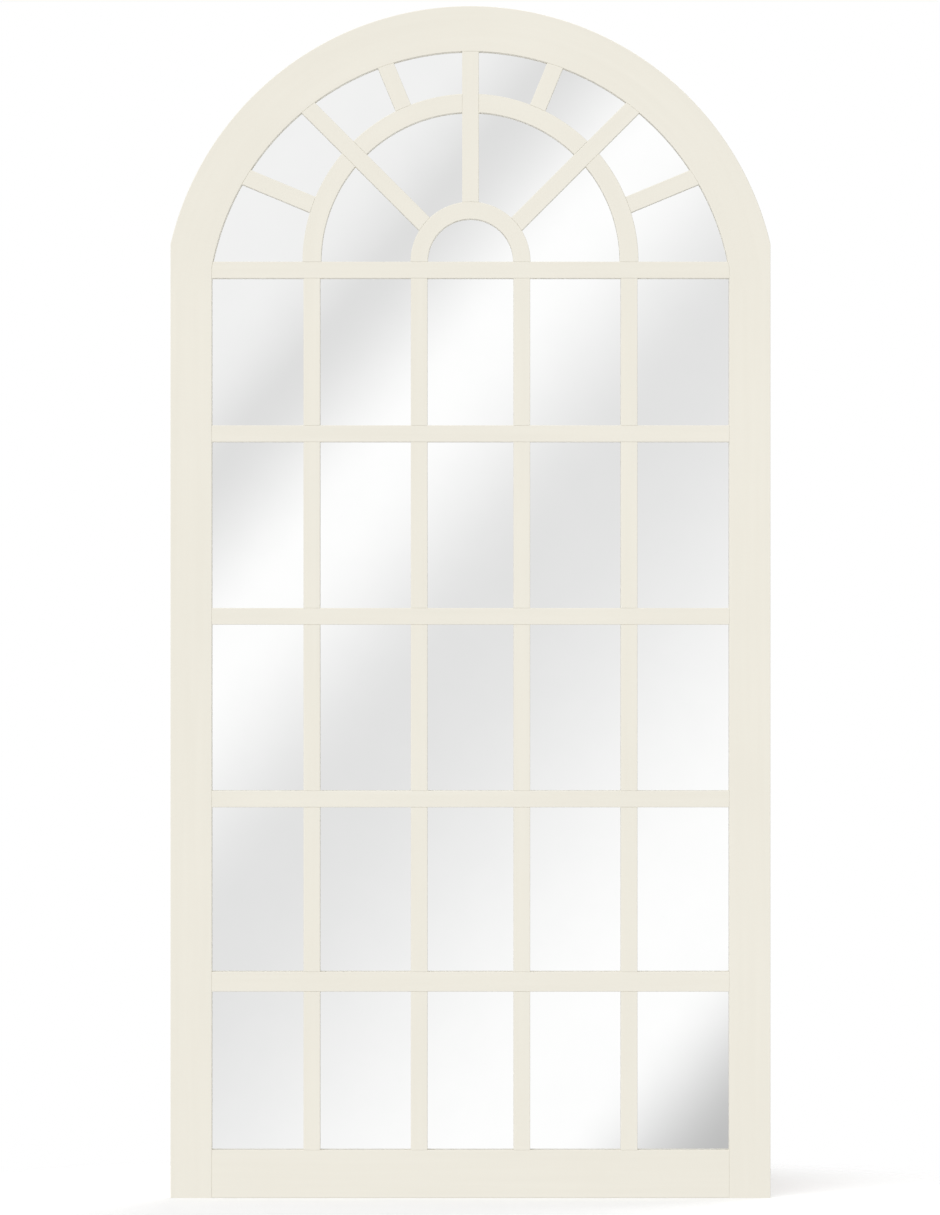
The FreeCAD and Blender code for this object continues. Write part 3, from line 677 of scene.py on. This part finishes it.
class TurnedTree:
    """The node tree that turns an outline about its axis and sets it at every seat, facing +Y.

    The outline is a helper object whose points hold its values. One half of the turned shape can
    be drawn out along X, as a plate with round ends is, and rows of the outline can be pinched to
    a cross slot.
    """

    NAME = "turned_on_seats"
    SOCKETS = {
        "Seats": Socket.GEOMETRY,
        "Outline": Socket.OBJECT,
        "Segments": Socket.INTEGER,
        "Reach": Socket.FLOAT,
        "Slot Half Width": Socket.FLOAT,
        "Spin": Socket.FLOAT,
        "Spin Spread": Socket.FLOAT,
        "Seed": Socket.INTEGER,
        "Finish": Socket.MATERIAL,
    }
    # Two columns part the halves where the reach draws them out, and a third closes the turn.
    MORE_COLUMNS = 3
    SAME_POINT = 0.001 * MM
    LEAST_SINE = 0.001
    SHARP_BEND = math.radians(35.0)
    # A Random Value node has sockets for every kind of data, and these are the ones for numbers.
    LEAST, MOST, CHANCE = 2, 3, 1

    def __init__(self) -> None:
        """Builds the tree."""
        pieces = {"Geometry": Socket.GEOMETRY}
        graph, given, result = new_group(self.NAME, Tree.GEOMETRY, self.SOCKETS, pieces)
        self.graph = graph
        self.given = given
        helper = graph.add("GeometryNodeObjectInfo", {"Object": given["Outline"]})
        self.outline = helper.outputs["Geometry"]
        self.columns = graph.math("ADD", given["Segments"], self.MORE_COLUMNS)
        index = graph.add("GeometryNodeInputIndex").outputs[0]
        self.row = graph.math("FLOOR", graph.math("DIVIDE", index, self.columns))
        self.column = graph.math("SUBTRACT", index, graph.math("MULTIPLY", self.row, self.columns))
        graph.feed(result["Geometry"], self.placed(self.shaded(self.turned())))

    def sampled(self, name: str) -> Link:
        """Reads a value of the outline for the row of each point.

        Args:
            name: The value's name.

        Returns:
            The value.
        """
        value = self.graph.add("GeometryNodeInputNamedAttribute", {"Name": name}).outputs
        inputs = {"Geometry": self.outline, "Value": value["Attribute"], "Index": self.row}
        return self.graph.add("GeometryNodeSampleIndex", inputs).outputs[0]

    def pinched(self, angle: Link) -> Link:
        """Works out each point's radius.

        Args:
            angle: The point's angle about the axis.

        Returns:
            The outline's radius, or the cross slot's where the row has one and it is less.
        """
        graph = self.graph
        radius = self.sampled("radius")
        slot = self.sampled("slot")
        off_axis = graph.math("SINE", graph.math("PINGPONG", angle, QUARTER_TURN / 2))
        half_width = graph.math("MULTIPLY", slot, self.given["Slot Half Width"])
        side = graph.math("DIVIDE", half_width, graph.math("MAXIMUM", off_axis, self.LEAST_SINE))
        pinch = graph.math("SUBTRACT", graph.math("MINIMUM", radius, side), radius)
        return graph.math("MULTIPLY_ADD", graph.math("GREATER_THAN", slot, 0.0), pinch, radius)

    def turned(self) -> Link:
        """Bends a grid, with a row for each point of the outline, about the axis.

        Returns:
            The turned mesh, closed where its points meet.
        """
        graph = self.graph
        segments = self.given["Segments"]
        past_half = graph.math("GREATER_THAN", self.column, graph.math("DIVIDE", segments, 2))
        past_end = graph.math("GREATER_THAN", self.column, graph.math("ADD", segments, 1))
        step = graph.math("SUBTRACT", graph.math("SUBTRACT", self.column, past_half), past_end)
        turn = graph.math("DIVIDE", graph.math("MULTIPLY", step, math.tau), segments)
        angle = graph.math("SUBTRACT", turn, QUARTER_TURN)
        drawn_half = graph.math("ADD", graph.math("SUBTRACT", 1, past_half), past_end)
        reach = graph.math("MULTIPLY", self.sampled("reach"), self.given["Reach"])
        radius = self.pinched(angle)
        along = graph.math("MULTIPLY", radius, graph.math("COSINE", angle))
        x = graph.math("MULTIPLY_ADD", reach, drawn_half, along)
        y = graph.math("MULTIPLY", radius, graph.math("SINE", angle))
        place = graph.vector(x, y, self.sampled("height"))
        rows = graph.add("GeometryNodeAttributeDomainSize", {0: self.outline}).outputs
        sides = {"Vertices X": rows["Point Count"], "Vertices Y": self.columns}
        grid = graph.shape("GeometryNodeMeshGrid", sides)
        bent = graph.shape("GeometryNodeSetPosition", {"Geometry": grid, "Position": place})
        inputs = {"Geometry": bent, "Distance": self.SAME_POINT}
        return graph.shape("GeometryNodeMergeByDistance", inputs)

    def shaded(self, mesh: Link) -> Link:
        """Shades a mesh smooth between its sharp edges.

        Args:
            mesh: The mesh.

        Returns:
            The shaded mesh.
        """
        smooth = self.graph.shape("GeometryNodeSetShadeSmooth", {"Geometry": mesh})
        bend = self.graph.add("GeometryNodeInputMeshEdgeAngle").outputs["Unsigned Angle"]
        sharp = self.graph.math("GREATER_THAN", bend, self.SHARP_BEND)
        inputs = {"Geometry": smooth, "Selection": sharp, "Shade Smooth": False}
        return self.graph.shape("GeometryNodeSetShadeSmooth", inputs, domain="EDGE")

    def placed(self, shape: Link) -> Link:
        """Sets a shape at every seat, spun about its axis.

        Args:
            shape: The shape, with its axis along Z.

        Returns:
            The finished mesh.
        """
        graph = self.graph
        spread = self.given["Spin Spread"]
        least = graph.math("MULTIPLY", spread, -1)
        draw = {self.LEAST: least, self.MOST: spread, "Seed": self.given["Seed"]}
        chance = graph.add("FunctionNodeRandomValue", draw).outputs[self.CHANCE]
        spin = graph.math("ADD", self.given["Spin"], chance)
        turn = graph.vector(-QUARTER_TURN, spin, 0.0)
        facing = graph.add("FunctionNodeEulerToRotation", {0: turn}).outputs[0]
        setting = {"Points": self.given["Seats"], "Instance": shape, "Rotation": facing}
        placed = graph.shape("GeometryNodeInstanceOnPoints", setting)
        plain = graph.shape("GeometryNodeRealizeInstances", {0: placed})
        coating = {"Geometry": plain, "Material": self.given["Finish"]}
        return graph.shape("GeometryNodeSetMaterial", coating)


@cache
def turned_on_seats() -> bpy.types.NodeTree:
    """Gives the tree of turned shapes, which is built once."""
    return TurnedTree().graph.tree


@dataclass(frozen=True)
class Turned:
    """A turned shape and how it is set at its seats."""

    outline: list[Turn]
    segments: int = 64
    reach: float = 0.0
    slot_half_width: float = 0.0
    spin: float = 0.0
    spin_spread: float = 0.0
    seed: int = 11

    def set_at(self, name: str, seats: list[Vector], finish: Finish) -> bpy.types.Object:
        """Makes one plain mesh of the shape at every seat.

        Args:
            name: The piece's name.
            seats: Where the foot of each shape's axis lies.
            finish: The finish of the piece.

        Returns:
            The new piece.
        """
        outline = self.outline_helper(f"{name}_outline")
        points = bpy.data.meshes.new(f"{name}_seats")
        points.from_pydata(seats, [], [])
        piece = linked(name, points)
        modifier = piece.modifiers.new("turned", "NODES")
        modifier.node_group = turned_on_seats()
        values = {
            "Outline": outline,
            "Segments": self.segments,
            "Reach": self.reach,
            "Slot Half Width": self.slot_half_width,
            "Spin": self.spin,
            "Spin Spread": self.spin_spread,
            "Seed": self.seed,
            "Finish": finish.material(),
        }
        for socket in modifier.node_group.interface.items_tree:
            if socket.name in values:
                modifier[socket.identifier] = values[socket.name]
        shaped = piece.evaluated_get(bpy.context.evaluated_depsgraph_get())
        mesh = bpy.data.meshes.new_from_object(shaped)
        piece.modifiers.remove(modifier)
        piece.data = mesh
        bpy.data.meshes.remove(points)
        bpy.data.meshes.remove(outline.data)
        return piece

    def outline_helper(self, name: str) -> bpy.types.Object:
        """Makes a helper whose points hold the outline.

        Args:
            name: The helper's name.

        Returns:
            The helper, which goes when its mesh goes.
        """
        mesh = bpy.data.meshes.new(name)
        mesh.from_pydata([(turn.radius, 0.0, turn.height) for turn in self.outline], [], [])
        for value in ("radius", "height", "slot", "reach"):
            column = mesh.attributes.new(value, "FLOAT", "POINT")
            column.data.foreach_set("value", [getattr(turn, value) for turn in self.outline])
        return linked(name, mesh)


def linked(name: str, data: bpy.types.ID) -> bpy.types.Object:
    """Makes an object of a mesh, a lamp or a camera, and puts it in the scene.

    Args:
        name: The object's name.
        data: What the object shows.

    Returns:
        The new object.
    """
    made = bpy.data.objects.new(name, data)
    bpy.context.scene.collection.objects.link(made)
    return made


@cache
def welded() -> bpy.types.NodeTree:
    """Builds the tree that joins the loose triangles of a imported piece.

    Returns:
        The tree, for a modifier.
    """
    sockets = {"Geometry": Socket.GEOMETRY}
    graph, given, result = new_group("welded", Tree.GEOMETRY, sockets, sockets)
    loose = {"Mesh": given["Geometry"], "Remove Custom": True}
    plain = graph.shape("GeometryNodeSetMeshNormal", loose)
    inputs = {"Geometry": plain, "Distance": WELD_DISTANCE}
    graph.feed(result["Geometry"], graph.shape("GeometryNodeMergeByDistance", inputs))
    return graph.tree


ZINC = ZincPlate(name="bright_zinc")


class Assembly(ABC):
    """Pieces of the mirror that are finished together."""

    @abstractmethod
    def build(self) -> None:
        """Makes and finishes the pieces."""

    def coat(self, node: str, finish: Finish) -> None:
        """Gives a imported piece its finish.

        Args:
            node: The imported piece.
            finish: Its finish.
        """
        for slot in frame["nodes"][node].material_slots:
            slot.material = finish.material()
        log.info("%s: finished in %s", node, finish.name)

    def paint_straight(self, node: str, angle: float) -> None:
        """Paints a straight timber, by its angle in degrees clockwise from upright."""
        self.coat(node, BrushedPaint(name=f"cream_paint_laid_{angle:g}", lay=StraightLay(angle)))

    def fit(self, piece: bpy.types.Object, body: str, slot: Slot, node: str) -> None:
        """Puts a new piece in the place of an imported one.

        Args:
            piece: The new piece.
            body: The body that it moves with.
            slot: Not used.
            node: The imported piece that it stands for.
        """
        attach(piece, body)
        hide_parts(node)
        log.info("%s: %d faces, on %s", piece.name, len(piece.data.polygons), body)


@dataclass
class OuterFrame(Assembly):
    """Stiles, bottom rail and arched head, with the dowels in the head's joints."""

    crown_half_angle: float = math.radians(28.0)

    def arch(self) -> RoundLay:
        """Works out the arch's curve from the crown's width and top.

        Returns:
            The lay along the arch.
        """
        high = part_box("head_crown")[1]
        radius = high.x / math.sin(self.crown_half_angle)
        return RoundLay(high.z - radius, radius)

    def build(self) -> None:
        """Paints the timbers and finishes the dowels."""
        for node in ("left_stile", "right_stile"):
            self.paint_straight(node, Run.UPRIGHT.value)
        self.paint_straight("bottom_rail", Run.LEVEL.value)
        for node in ("head_left", "head_right", "head_crown"):
            self.coat(node, BrushedPaint(name="cream_paint_round_arch", lay=self.arch()))
        for node in ("crown_dowels", "foot_dowels"):
            self.coat(node, TurnedBeech(name="turned_beech"))


@dataclass
class GlazingBars(Assembly):
    """The bars of the straight lights, and the transom above them."""

    cross_bars: int = 4

    def build(self) -> None:
        """Paints the bars."""
        for number in range(self.cross_bars):
            self.paint_straight(f"cross_bar_{number + 1}", Run.LEVEL.value)
        self.paint_straight("transom_bar", Run.LEVEL.value)
        for bar in ("outer_left", "inner_left", "inner_right", "outer_right"):
            self.paint_straight(f"upright_bar_{bar}", Run.UPRIGHT.value)


@dataclass
class Fan(Assembly):
    """The half rings and spokes in the arch."""

    spoke_pitch: float = 22.5

    def ring_paint(self, name: str, node: str) -> BrushedPaint:
        """Lays paint round a half ring on the transom, as wide as its right-hand piece reaches."""
        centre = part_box("transom_bar")[1].z
        return BrushedPaint(name=name, lay=RoundLay(centre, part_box(node)[1].x))

    def build(self) -> None:
        """Paints the rings and the spokes."""
        self.coat("hub_ring", self.ring_paint("cream_paint_round_hub", "hub_ring"))
        fan_paint = self.ring_paint("cream_paint_round_fan", "fan_ring_right_low")
        for piece in ("left_low", "left_high", "right_high", "right_low"):
            self.coat(f"fan_ring_{piece}", fan_paint)
        through = {"left": -2, "centre": 0, "right": 2}
        for spoke, steps in through.items():
            self.paint_straight(f"spoke_{spoke}", steps * self.spoke_pitch)
        short = {"left_low": -3, "left_high": -1, "right_high": 1, "right_low": 3}
        for spoke, steps in short.items():
            self.paint_straight(f"short_spoke_{spoke}", steps * self.spoke_pitch)


@dataclass
class MirrorPack(Assembly):
    """The mirror, the card behind it and the board that closes the back."""

    def build(self) -> None:
        """Finishes the three sheets."""
        self.coat("mirror_glass", SilveredGlass(name="silvered_glass"))
        self.coat("card_liner", LinerCard(name="grey_liner_card"))
        self.coat("backing_board", Hardboard(name="screen_pressed_hardboard"))


@dataclass(frozen=True)
class PanScrew:
    """A pan-headed screw with a cross slot."""

    head_radius: float = 3.6 * MM
    head_height: float = 2.0 * MM
    head_ease: float = 1.0 * MM
    foot_ease: float = 0.12 * MM
    slot_reach: float = 2.0 * MM
    slot_half_width: float = 0.42 * MM
    slot_depth: float = 1.15 * MM
    slot_floor_reach: float = 0.9 * MM
    slot_floor_rise: float = 0.12 * MM
    slot_floor_share: float = 0.75
    slot_lip: float = 0.2 * MM
    slot_lip_drop: float = 0.04 * MM
    shank_radius: float = 1.75 * MM
    shank_length: float = 17.5 * MM
    tip_length: float = 4.0 * MM

    def outline(self) -> list[Turn]:
        """Runs from the floor of the slot over the head and down the shank to the tip.

        Returns:
            The outline, with its heights from the seat of the head.
        """
        top = self.head_height
        floor = top - self.slot_depth
        return [
            Turn(0.0, floor),
            Turn(self.slot_floor_reach, floor + self.slot_floor_rise, slot=self.slot_floor_share),
            Turn(self.slot_reach, top - self.slot_lip_drop, slot=1.0),
            Turn(self.slot_reach + self.slot_lip, top),
            *rounded(self.head_radius, top, self.head_ease),
            Turn(self.head_radius, self.foot_ease),
            Turn(self.head_radius - self.foot_ease, 0.0),
            Turn(self.shank_radius, 0.0),
            Turn(self.shank_radius, self.tip_length - self.shank_length),
            Turn(0.0, -self.shank_length),
        ]

    def drive(self, name: str, seats: list[Vector]) -> bpy.types.Object:
        """Makes one piece of a screw at each seat, each left at its own angle."""
        turned = Turned(self.outline(), slot_half_width=self.slot_half_width, spin_spread=math.pi)
        return turned.set_at(name, seats, ZINC)


@dataclass
class TurnButtons(Assembly):
    """Turn buttons that hold the board in, each on its screw."""

    half_width: float = 6.0 * MM
    thickness: float = 1.5 * MM
    hole_radius: float = 1.83 * MM
    rim_ease: float = 0.4 * MM
    hole_ease: float = 0.2 * MM
    turning_gap: float = 0.08 * MM
    segments: int = 48

    def outline(self) -> list[Turn]:
        """Runs over the top of the plate, round its rim, back under it and up through the hole.

        Returns:
            The closed outline, with its heights from the back of the frame.
        """
        top = rounded(self.half_width, self.thickness, self.rim_ease, reach=1.0)
        foot = [
            Turn(turn.radius, self.thickness - turn.height, reach=1.0) for turn in reversed(top)
        ]
        mouth = self.hole_radius + self.hole_ease
        start = Turn(mouth, self.thickness)
        hole = [
            Turn(mouth, 0.0),
            Turn(self.hole_radius, self.hole_ease),
            Turn(self.hole_radius, self.thickness - self.hole_ease),
        ]
        return [start, *top, *foot, *hole, start]

    def plate(self, name: str, node: str, pivot: Vector) -> bpy.types.Object:
        """Makes one plate.

        Args:
            name: The plate's name.
            node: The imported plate, whose middle shows where this one points.
            pivot: The point on the back of the frame that it turns about.

        Returns:
            The new plate.
        """
        low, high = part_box(node)
        arm = (low + high) / 2 - pivot
        reach = 2 * math.hypot(arm.x, arm.z)
        spin = math.atan2(-arm.z, arm.x)
        shape = Turned(self.outline(), segments=self.segments, reach=reach, spin=spin)
        return shape.set_at(name, [pivot], ZINC)

    def build(self) -> None:
        """Makes a plate on each turning body, and the screws that hold them."""
        bodies = frame["record"]["behaviour"]["bodies"]
        seats = []
        for joint in frame["joints"]:
            body = joint["child"]
            if body.startswith("button_"):
                node = bodies[body][0]
                pivot = Vector(joint["pos_m"])
                plate = self.plate(body.replace("button_", "button_plate_"), node, pivot)
                self.fit(plate, body, Slot.STEEL, node)
                seats.append(pivot + Vector((0.0, self.thickness + self.turning_gap, 0.0)))
        screws = PanScrew().drive("button_screw_set", seats)
        self.fit(screws, FRAME_BODY, Slot.STEEL, "button_screws")


@dataclass
class Hangers(Assembly):
    """Straps with rolled eyes, the rings that swing in them, and their screws."""

    strap_thickness: float = 1.5 * MM
    first_screw: float = 12.0 * MM
    screw_pitch: float = 22.0 * MM
    screws_each: int = 2
    edge_ease: float = 0.35 * MM
    edge_segments: int = 3
    flat_angle: float = math.radians(1.0)
    edge_angle: float = math.radians(40.0)

    def build(self) -> None:
        """Softens and plates the straps, plates the rings, and drives the screws."""
        strap_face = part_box("left_stile")[1].y + self.strap_thickness
        drops = [self.first_screw + number * self.screw_pitch for number in range(self.screws_each)]
        seats = []
        for joint in frame["joints"]:
            if joint["name"].endswith("_ring_swing"):
                ring = joint["child"]
                side = ring.removesuffix("_ring")
                self.coat(f"{side}_hanger_ring", ZINC)
                self.coat(f"{side}_hanger_strap", ZINC)
                self.soften(f"{side}_hanger_strap")
                x, _, z = joint["pos_m"]
                seats += [Vector((x, strap_face, z - drop)) for drop in drops]
        screws = PanScrew().drive("hanger_screw_set", seats)
        self.fit(screws, FRAME_BODY, Slot.STEEL, "hanger_screws")

    def soften(self, node: str) -> None:
        """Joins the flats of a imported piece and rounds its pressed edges.

        Args:
            node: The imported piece.
        """
        modifiers = frame["nodes"][node].modifiers
        modifiers.new("weld", "NODES").node_group = welded()
        flatten = modifiers.new("flatten", "DECIMATE")
        flatten.decimate_type = "DISSOLVE"
        flatten.angle_limit = self.flat_angle
        bevel = modifiers.new("soften", "BEVEL")
        bevel.width = self.edge_ease
        bevel.segments = self.edge_segments
        bevel.limit_method = "ANGLE"
        bevel.angle_limit = self.edge_angle
        bevel.harden_normals = True


@dataclass
class WallBumpers(Assembly):
    """Rubber bumpers at the bottom corners, dished at the tip."""

    tip_radius: float = 7.5 * MM
    tip_ease: float = 1.2 * MM
    foot_ease: float = 0.3 * MM
    dish_radius: float = 4.0 * MM
    dish_floor_radius: float = 3.0 * MM
    dish_depth: float = 0.9 * MM
    dish_lip: float = 0.4 * MM
    dish_lip_drop: float = 0.27 * MM

    def outline(self, radius: float, height: float) -> list[Turn]:
        """Runs from the floor of the dish over the tip and down the side.

        Args:
            radius: The radius of the foot.
            height: How far the bumper stands off the frame.

        Returns:
            The outline, with its heights from the back of the frame.
        """
        return [
            Turn(0.0, height - self.dish_depth),
            Turn(self.dish_floor_radius, height - self.dish_depth),
            Turn(self.dish_radius, height - self.dish_lip_drop),
            Turn(self.dish_radius + self.dish_lip, height),
            *rounded(self.tip_radius, height, self.tip_ease),
            Turn(radius, self.foot_ease),
            Turn(radius - self.foot_ease, 0.0),
            Turn(0.0, 0.0),
        ]

    def build(self) -> None:
        """Turns both bumpers as one piece."""
        low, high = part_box("wall_bumpers")
        radius = (high.z - low.z) / 2
        seats = [Vector((x, low.y, low.z + radius)) for x in (low.x + radius, high.x - radius)]
        shape = Turned(self.outline(radius, high.y - low.y))
        piece = shape.set_at("wall_bumper_set", seats, MouldedRubber(name="moulded_rubber"))
        self.fit(piece, FRAME_BODY, Slot.RUBBER, "wall_bumpers")


@dataclass(frozen=True)
class ShadeBand:
    """A soft band of shade in the light: where it starts, is deepest and stops, in degrees."""

    start: float
    deepest: float
    stop: float
    depth: float

    def shade(self, graph: Graph, angle: Link) -> Link:
        """Works out how much light the band takes.

        Args:
            graph: The world's graph.
            angle: The angle across the band, in degrees.

        Returns:
            The light that it takes.
        """
        rise = graph.ramp(angle, self.start, self.deepest, 0.0, self.depth)
        fall = graph.ramp(angle, self.deepest, self.stop, self.depth, 0.0)
        return graph.math("MINIMUM", rise, fall)


@dataclass(frozen=True)
class LightWall:
    """The bright walls of the studio, which only mirrors and metal show.

    Bands of shade slant across them. They fold back and forth past the ends of what the mirror
    shows square on, and widen further off. The walls darken towards the sides, and a shaded cove
    runs above them.
    """

    brightest: float = 1.03
    darkest: float = 0.12
    slant: float = math.radians(40.0)
    fold: Range = (-3.2, 3.95)
    even_reach: float = 4.0
    widening: float = 7.0
    bands: tuple[ShadeBand, ...] = (
        ShadeBand(-6.5, -2.6, -2.15, 0.117),
        ShadeBand(-2.62, -2.05, -1.2, 0.27),
        ShadeBand(-1.1, 0.05, 2.6, 0.24),
        ShadeBand(2.95, 3.9, 4.9, 0.5),
    )
    sides: ShadeBand = ShadeBand(8.0, 45.0, 90.0, 0.18)
    cove: ShadeBand = ShadeBand(9.0, 24.0, 42.0, 0.62)

    def across(self, graph: Graph, sideways: Link, upwards: Link) -> Link:
        """Works out the angle across the bands.

        Args:
            graph: The world's graph.
            sideways: The direction's angle to the right, in degrees.
            upwards: The direction's angle upwards, in degrees.

        Returns:
            The folded angle, in degrees.
        """
        slanted = graph.total((sideways, math.cos(self.slant)), (upwards, -math.sin(self.slant)))
        size = graph.math("ABSOLUTE", slanted)
        past = graph.math("MAXIMUM", graph.math("SUBTRACT", size, self.even_reach), 0.0)
        growth = graph.math("MULTIPLY_ADD", past, 1 / self.widening, 1.0)
        eased = graph.math("LOGARITHM", growth, math.e)
        near = graph.math("MINIMUM", size, self.even_reach)
        size = graph.math("MULTIPLY_ADD", eased, self.widening, near)
        first, last = self.fold
        angle = graph.math("MULTIPLY_ADD", graph.math("SIGN", slanted), size, -first)
        return graph.math("ADD", graph.math("PINGPONG", angle, last - first), first)

    def light(self, graph: Graph) -> Link:
        """Works out the light in each direction.

        Args:
            graph: The world's graph.

        Returns:
            The light's strength.
        """
        x, y, z = graph.parts(graph.add("ShaderNodeTexCoord").outputs["Generated"])
        sideways = graph.math("DEGREES", graph.math("ARCTAN2", x, graph.math("ABSOLUTE", y)))
        upwards = graph.math("DEGREES", graph.math("ARCSINE", z))
        angle = self.across(graph, sideways, upwards)
        shades = [band.shade(graph, angle) for band in self.bands]
        shades.append(self.sides.shade(graph, graph.math("ABSOLUTE", sideways)))
        shades.append(self.cove.shade(graph, upwards))
        light: Value = self.brightest
        for shade in shades:
            light = graph.math("SUBTRACT", light, shade)
        return graph.math("MAXIMUM", light, self.darkest)


@dataclass(frozen=True)
class Lamp:
    """A wide soft lamp far off, by its bearing, angle from straight above and width in degrees.

    A lamp that glints shows in gloss and metal. Any other lights matt surfaces alone.
    """

    name: str
    bearing: float
    strength: float
    glints: bool
    from_above: float = 50.0
    width: float = 50.0

    def hang(self) -> None:
        """Hangs the lamp."""
        data = bpy.data.lights.new(self.name, "SUN")
        data.energy = self.strength
        data.angle = math.radians(self.width)
        lamp = linked(self.name, data)
        lamp.rotation_euler = (math.radians(self.from_above), 0.0, math.radians(self.bearing))
        lamp.visible_glossy = self.glints


@dataclass
class Studio:
    """The floor, the light and the camera."""

    view_distance: float = 12.0
    view_height: float = 1822.5 * MM
    view_middle: tuple[float, float] = (-0.75 * MM, 885.75 * MM)
    sensor: float = 36.0
    floor_radius: float = 0.95
    floor_full_radius: float = 0.55
    floor_drop: float = 0.1 * MM
    floor_segments: int = 96
    floor_colour: Colour = (0.96, 0.96, 0.96)
    room_light: float = 0.725
    wall: LightWall = LightWall()
    # The front lamp doesn't glint, because it would draw a white line along the bars' eased edges.
    lamps: tuple[Lamp, ...] = (
        Lamp("front_lamp", bearing=-30.0, strength=1.34, glints=False),
        Lamp("back_lamp", bearing=150.0, strength=1.0, glints=True),
    )

    def build(self) -> None:
        """Sets the studio up."""
        self.set_camera()
        self.lay_floor()
        self.light_room()
        for lamp in self.lamps:
            lamp.hang()
        bpy.context.scene.view_settings.view_transform = "Standard"

    def set_camera(self) -> None:
        """Looks square at the front of the frame from far off, through a long lens."""
        data = bpy.data.cameras.new("square_view")
        data.sensor_width = self.sensor
        data.lens = self.sensor * self.view_distance / self.view_height
        camera = linked("square_view", data)
        x, z = self.view_middle
        camera.location = (x, CAD_BOX[0].y - self.view_distance, z)
        camera.rotation_euler = (QUARTER_TURN, 0.0, 0.0)
        bpy.context.scene.camera = camera

    def lay_floor(self) -> None:
        """Lays a pale round floor that fades out at its edge."""
        disc = bmesh.new()
        below = Matrix.Translation((0.0, 0.0, -self.floor_drop))
        bmesh.ops.create_circle(
            disc,
            cap_ends=True,
            segments=self.floor_segments,
            radius=self.floor_radius,
            matrix=below,
        )
        mesh = bpy.data.meshes.new("floor")
        disc.to_mesh(mesh)
        disc.free()
        mesh.materials.append(self.floor_material())
        linked("floor", mesh)

    def floor_material(self) -> bpy.types.Material:
        """Makes the floor's matt white.

        Returns:
            A material that is clear at the rim, from below and to matt surfaces, so that the foot
            of the frame gets no more light than its head.
        """
        material = bpy.data.materials.new("pale_floor")
        material.use_nodes = True
        graph = Graph(material.node_tree)
        x, y, _ = graph.parts(graph.place())
        rim = graph.ramp(graph.length(x, y), self.floor_full_radius, self.floor_radius)
        from_below = graph.add("ShaderNodeNewGeometry").outputs["Backfacing"]
        to_matt = graph.add("ShaderNodeLightPath").outputs["Is Diffuse Ray"]
        clear = graph.math("MAXIMUM", graph.math("MAXIMUM", rim, from_below), to_matt)
        colour = (*self.floor_colour, OPAQUE)
        matt = graph.add("ShaderNodeBsdfDiffuse", {"Color": colour}).outputs[0]
        nothing = graph.add("ShaderNodeBsdfTransparent").outputs[0]
        mixed = graph.add("ShaderNodeMixShader", {0: clear, 1: matt, 2: nothing}).outputs[0]
        graph.feed(material.node_tree.nodes["Material Output"].inputs["Surface"], mixed)
        return material

    def light_room(self) -> None:
        """Lights the room: white to cameras, even to matt surfaces, the light wall to mirrors."""
        world = bpy.data.worlds.new("studio")
        world.use_nodes = True
        bpy.context.scene.world = world
        graph = Graph(world.node_tree)
        path = graph.add("ShaderNodeLightPath").outputs
        mirrored = graph.math("MAXIMUM", path["Is Glossy Ray"], path["Is Transmission Ray"])
        change = graph.math("SUBTRACT", self.wall.light(graph), self.room_light)
        light = graph.math("MULTIPLY_ADD", mirrored, change, self.room_light)
        background = world.node_tree.nodes["Background"].inputs
        background["Color"].default_value = WHITE
        graph.feed(background["Strength"], graph.math("MAXIMUM", light, path["Is Camera Ray"]))


def main() -> None:
    """Builds every sub-assembly, then the studio."""
    logging.basicConfig(level=logging.INFO, format="%(message)s")
    front = (OuterFrame(), GlazingBars(), Fan())
    back = (MirrorPack(), TurnButtons(), Hangers(), WallBumpers())
    for assembly in (*front, *back):
        log.info("building %s", type(assembly).__name__)
        assembly.build()
    Studio().build()


if __name__ == "__main__":
    main()
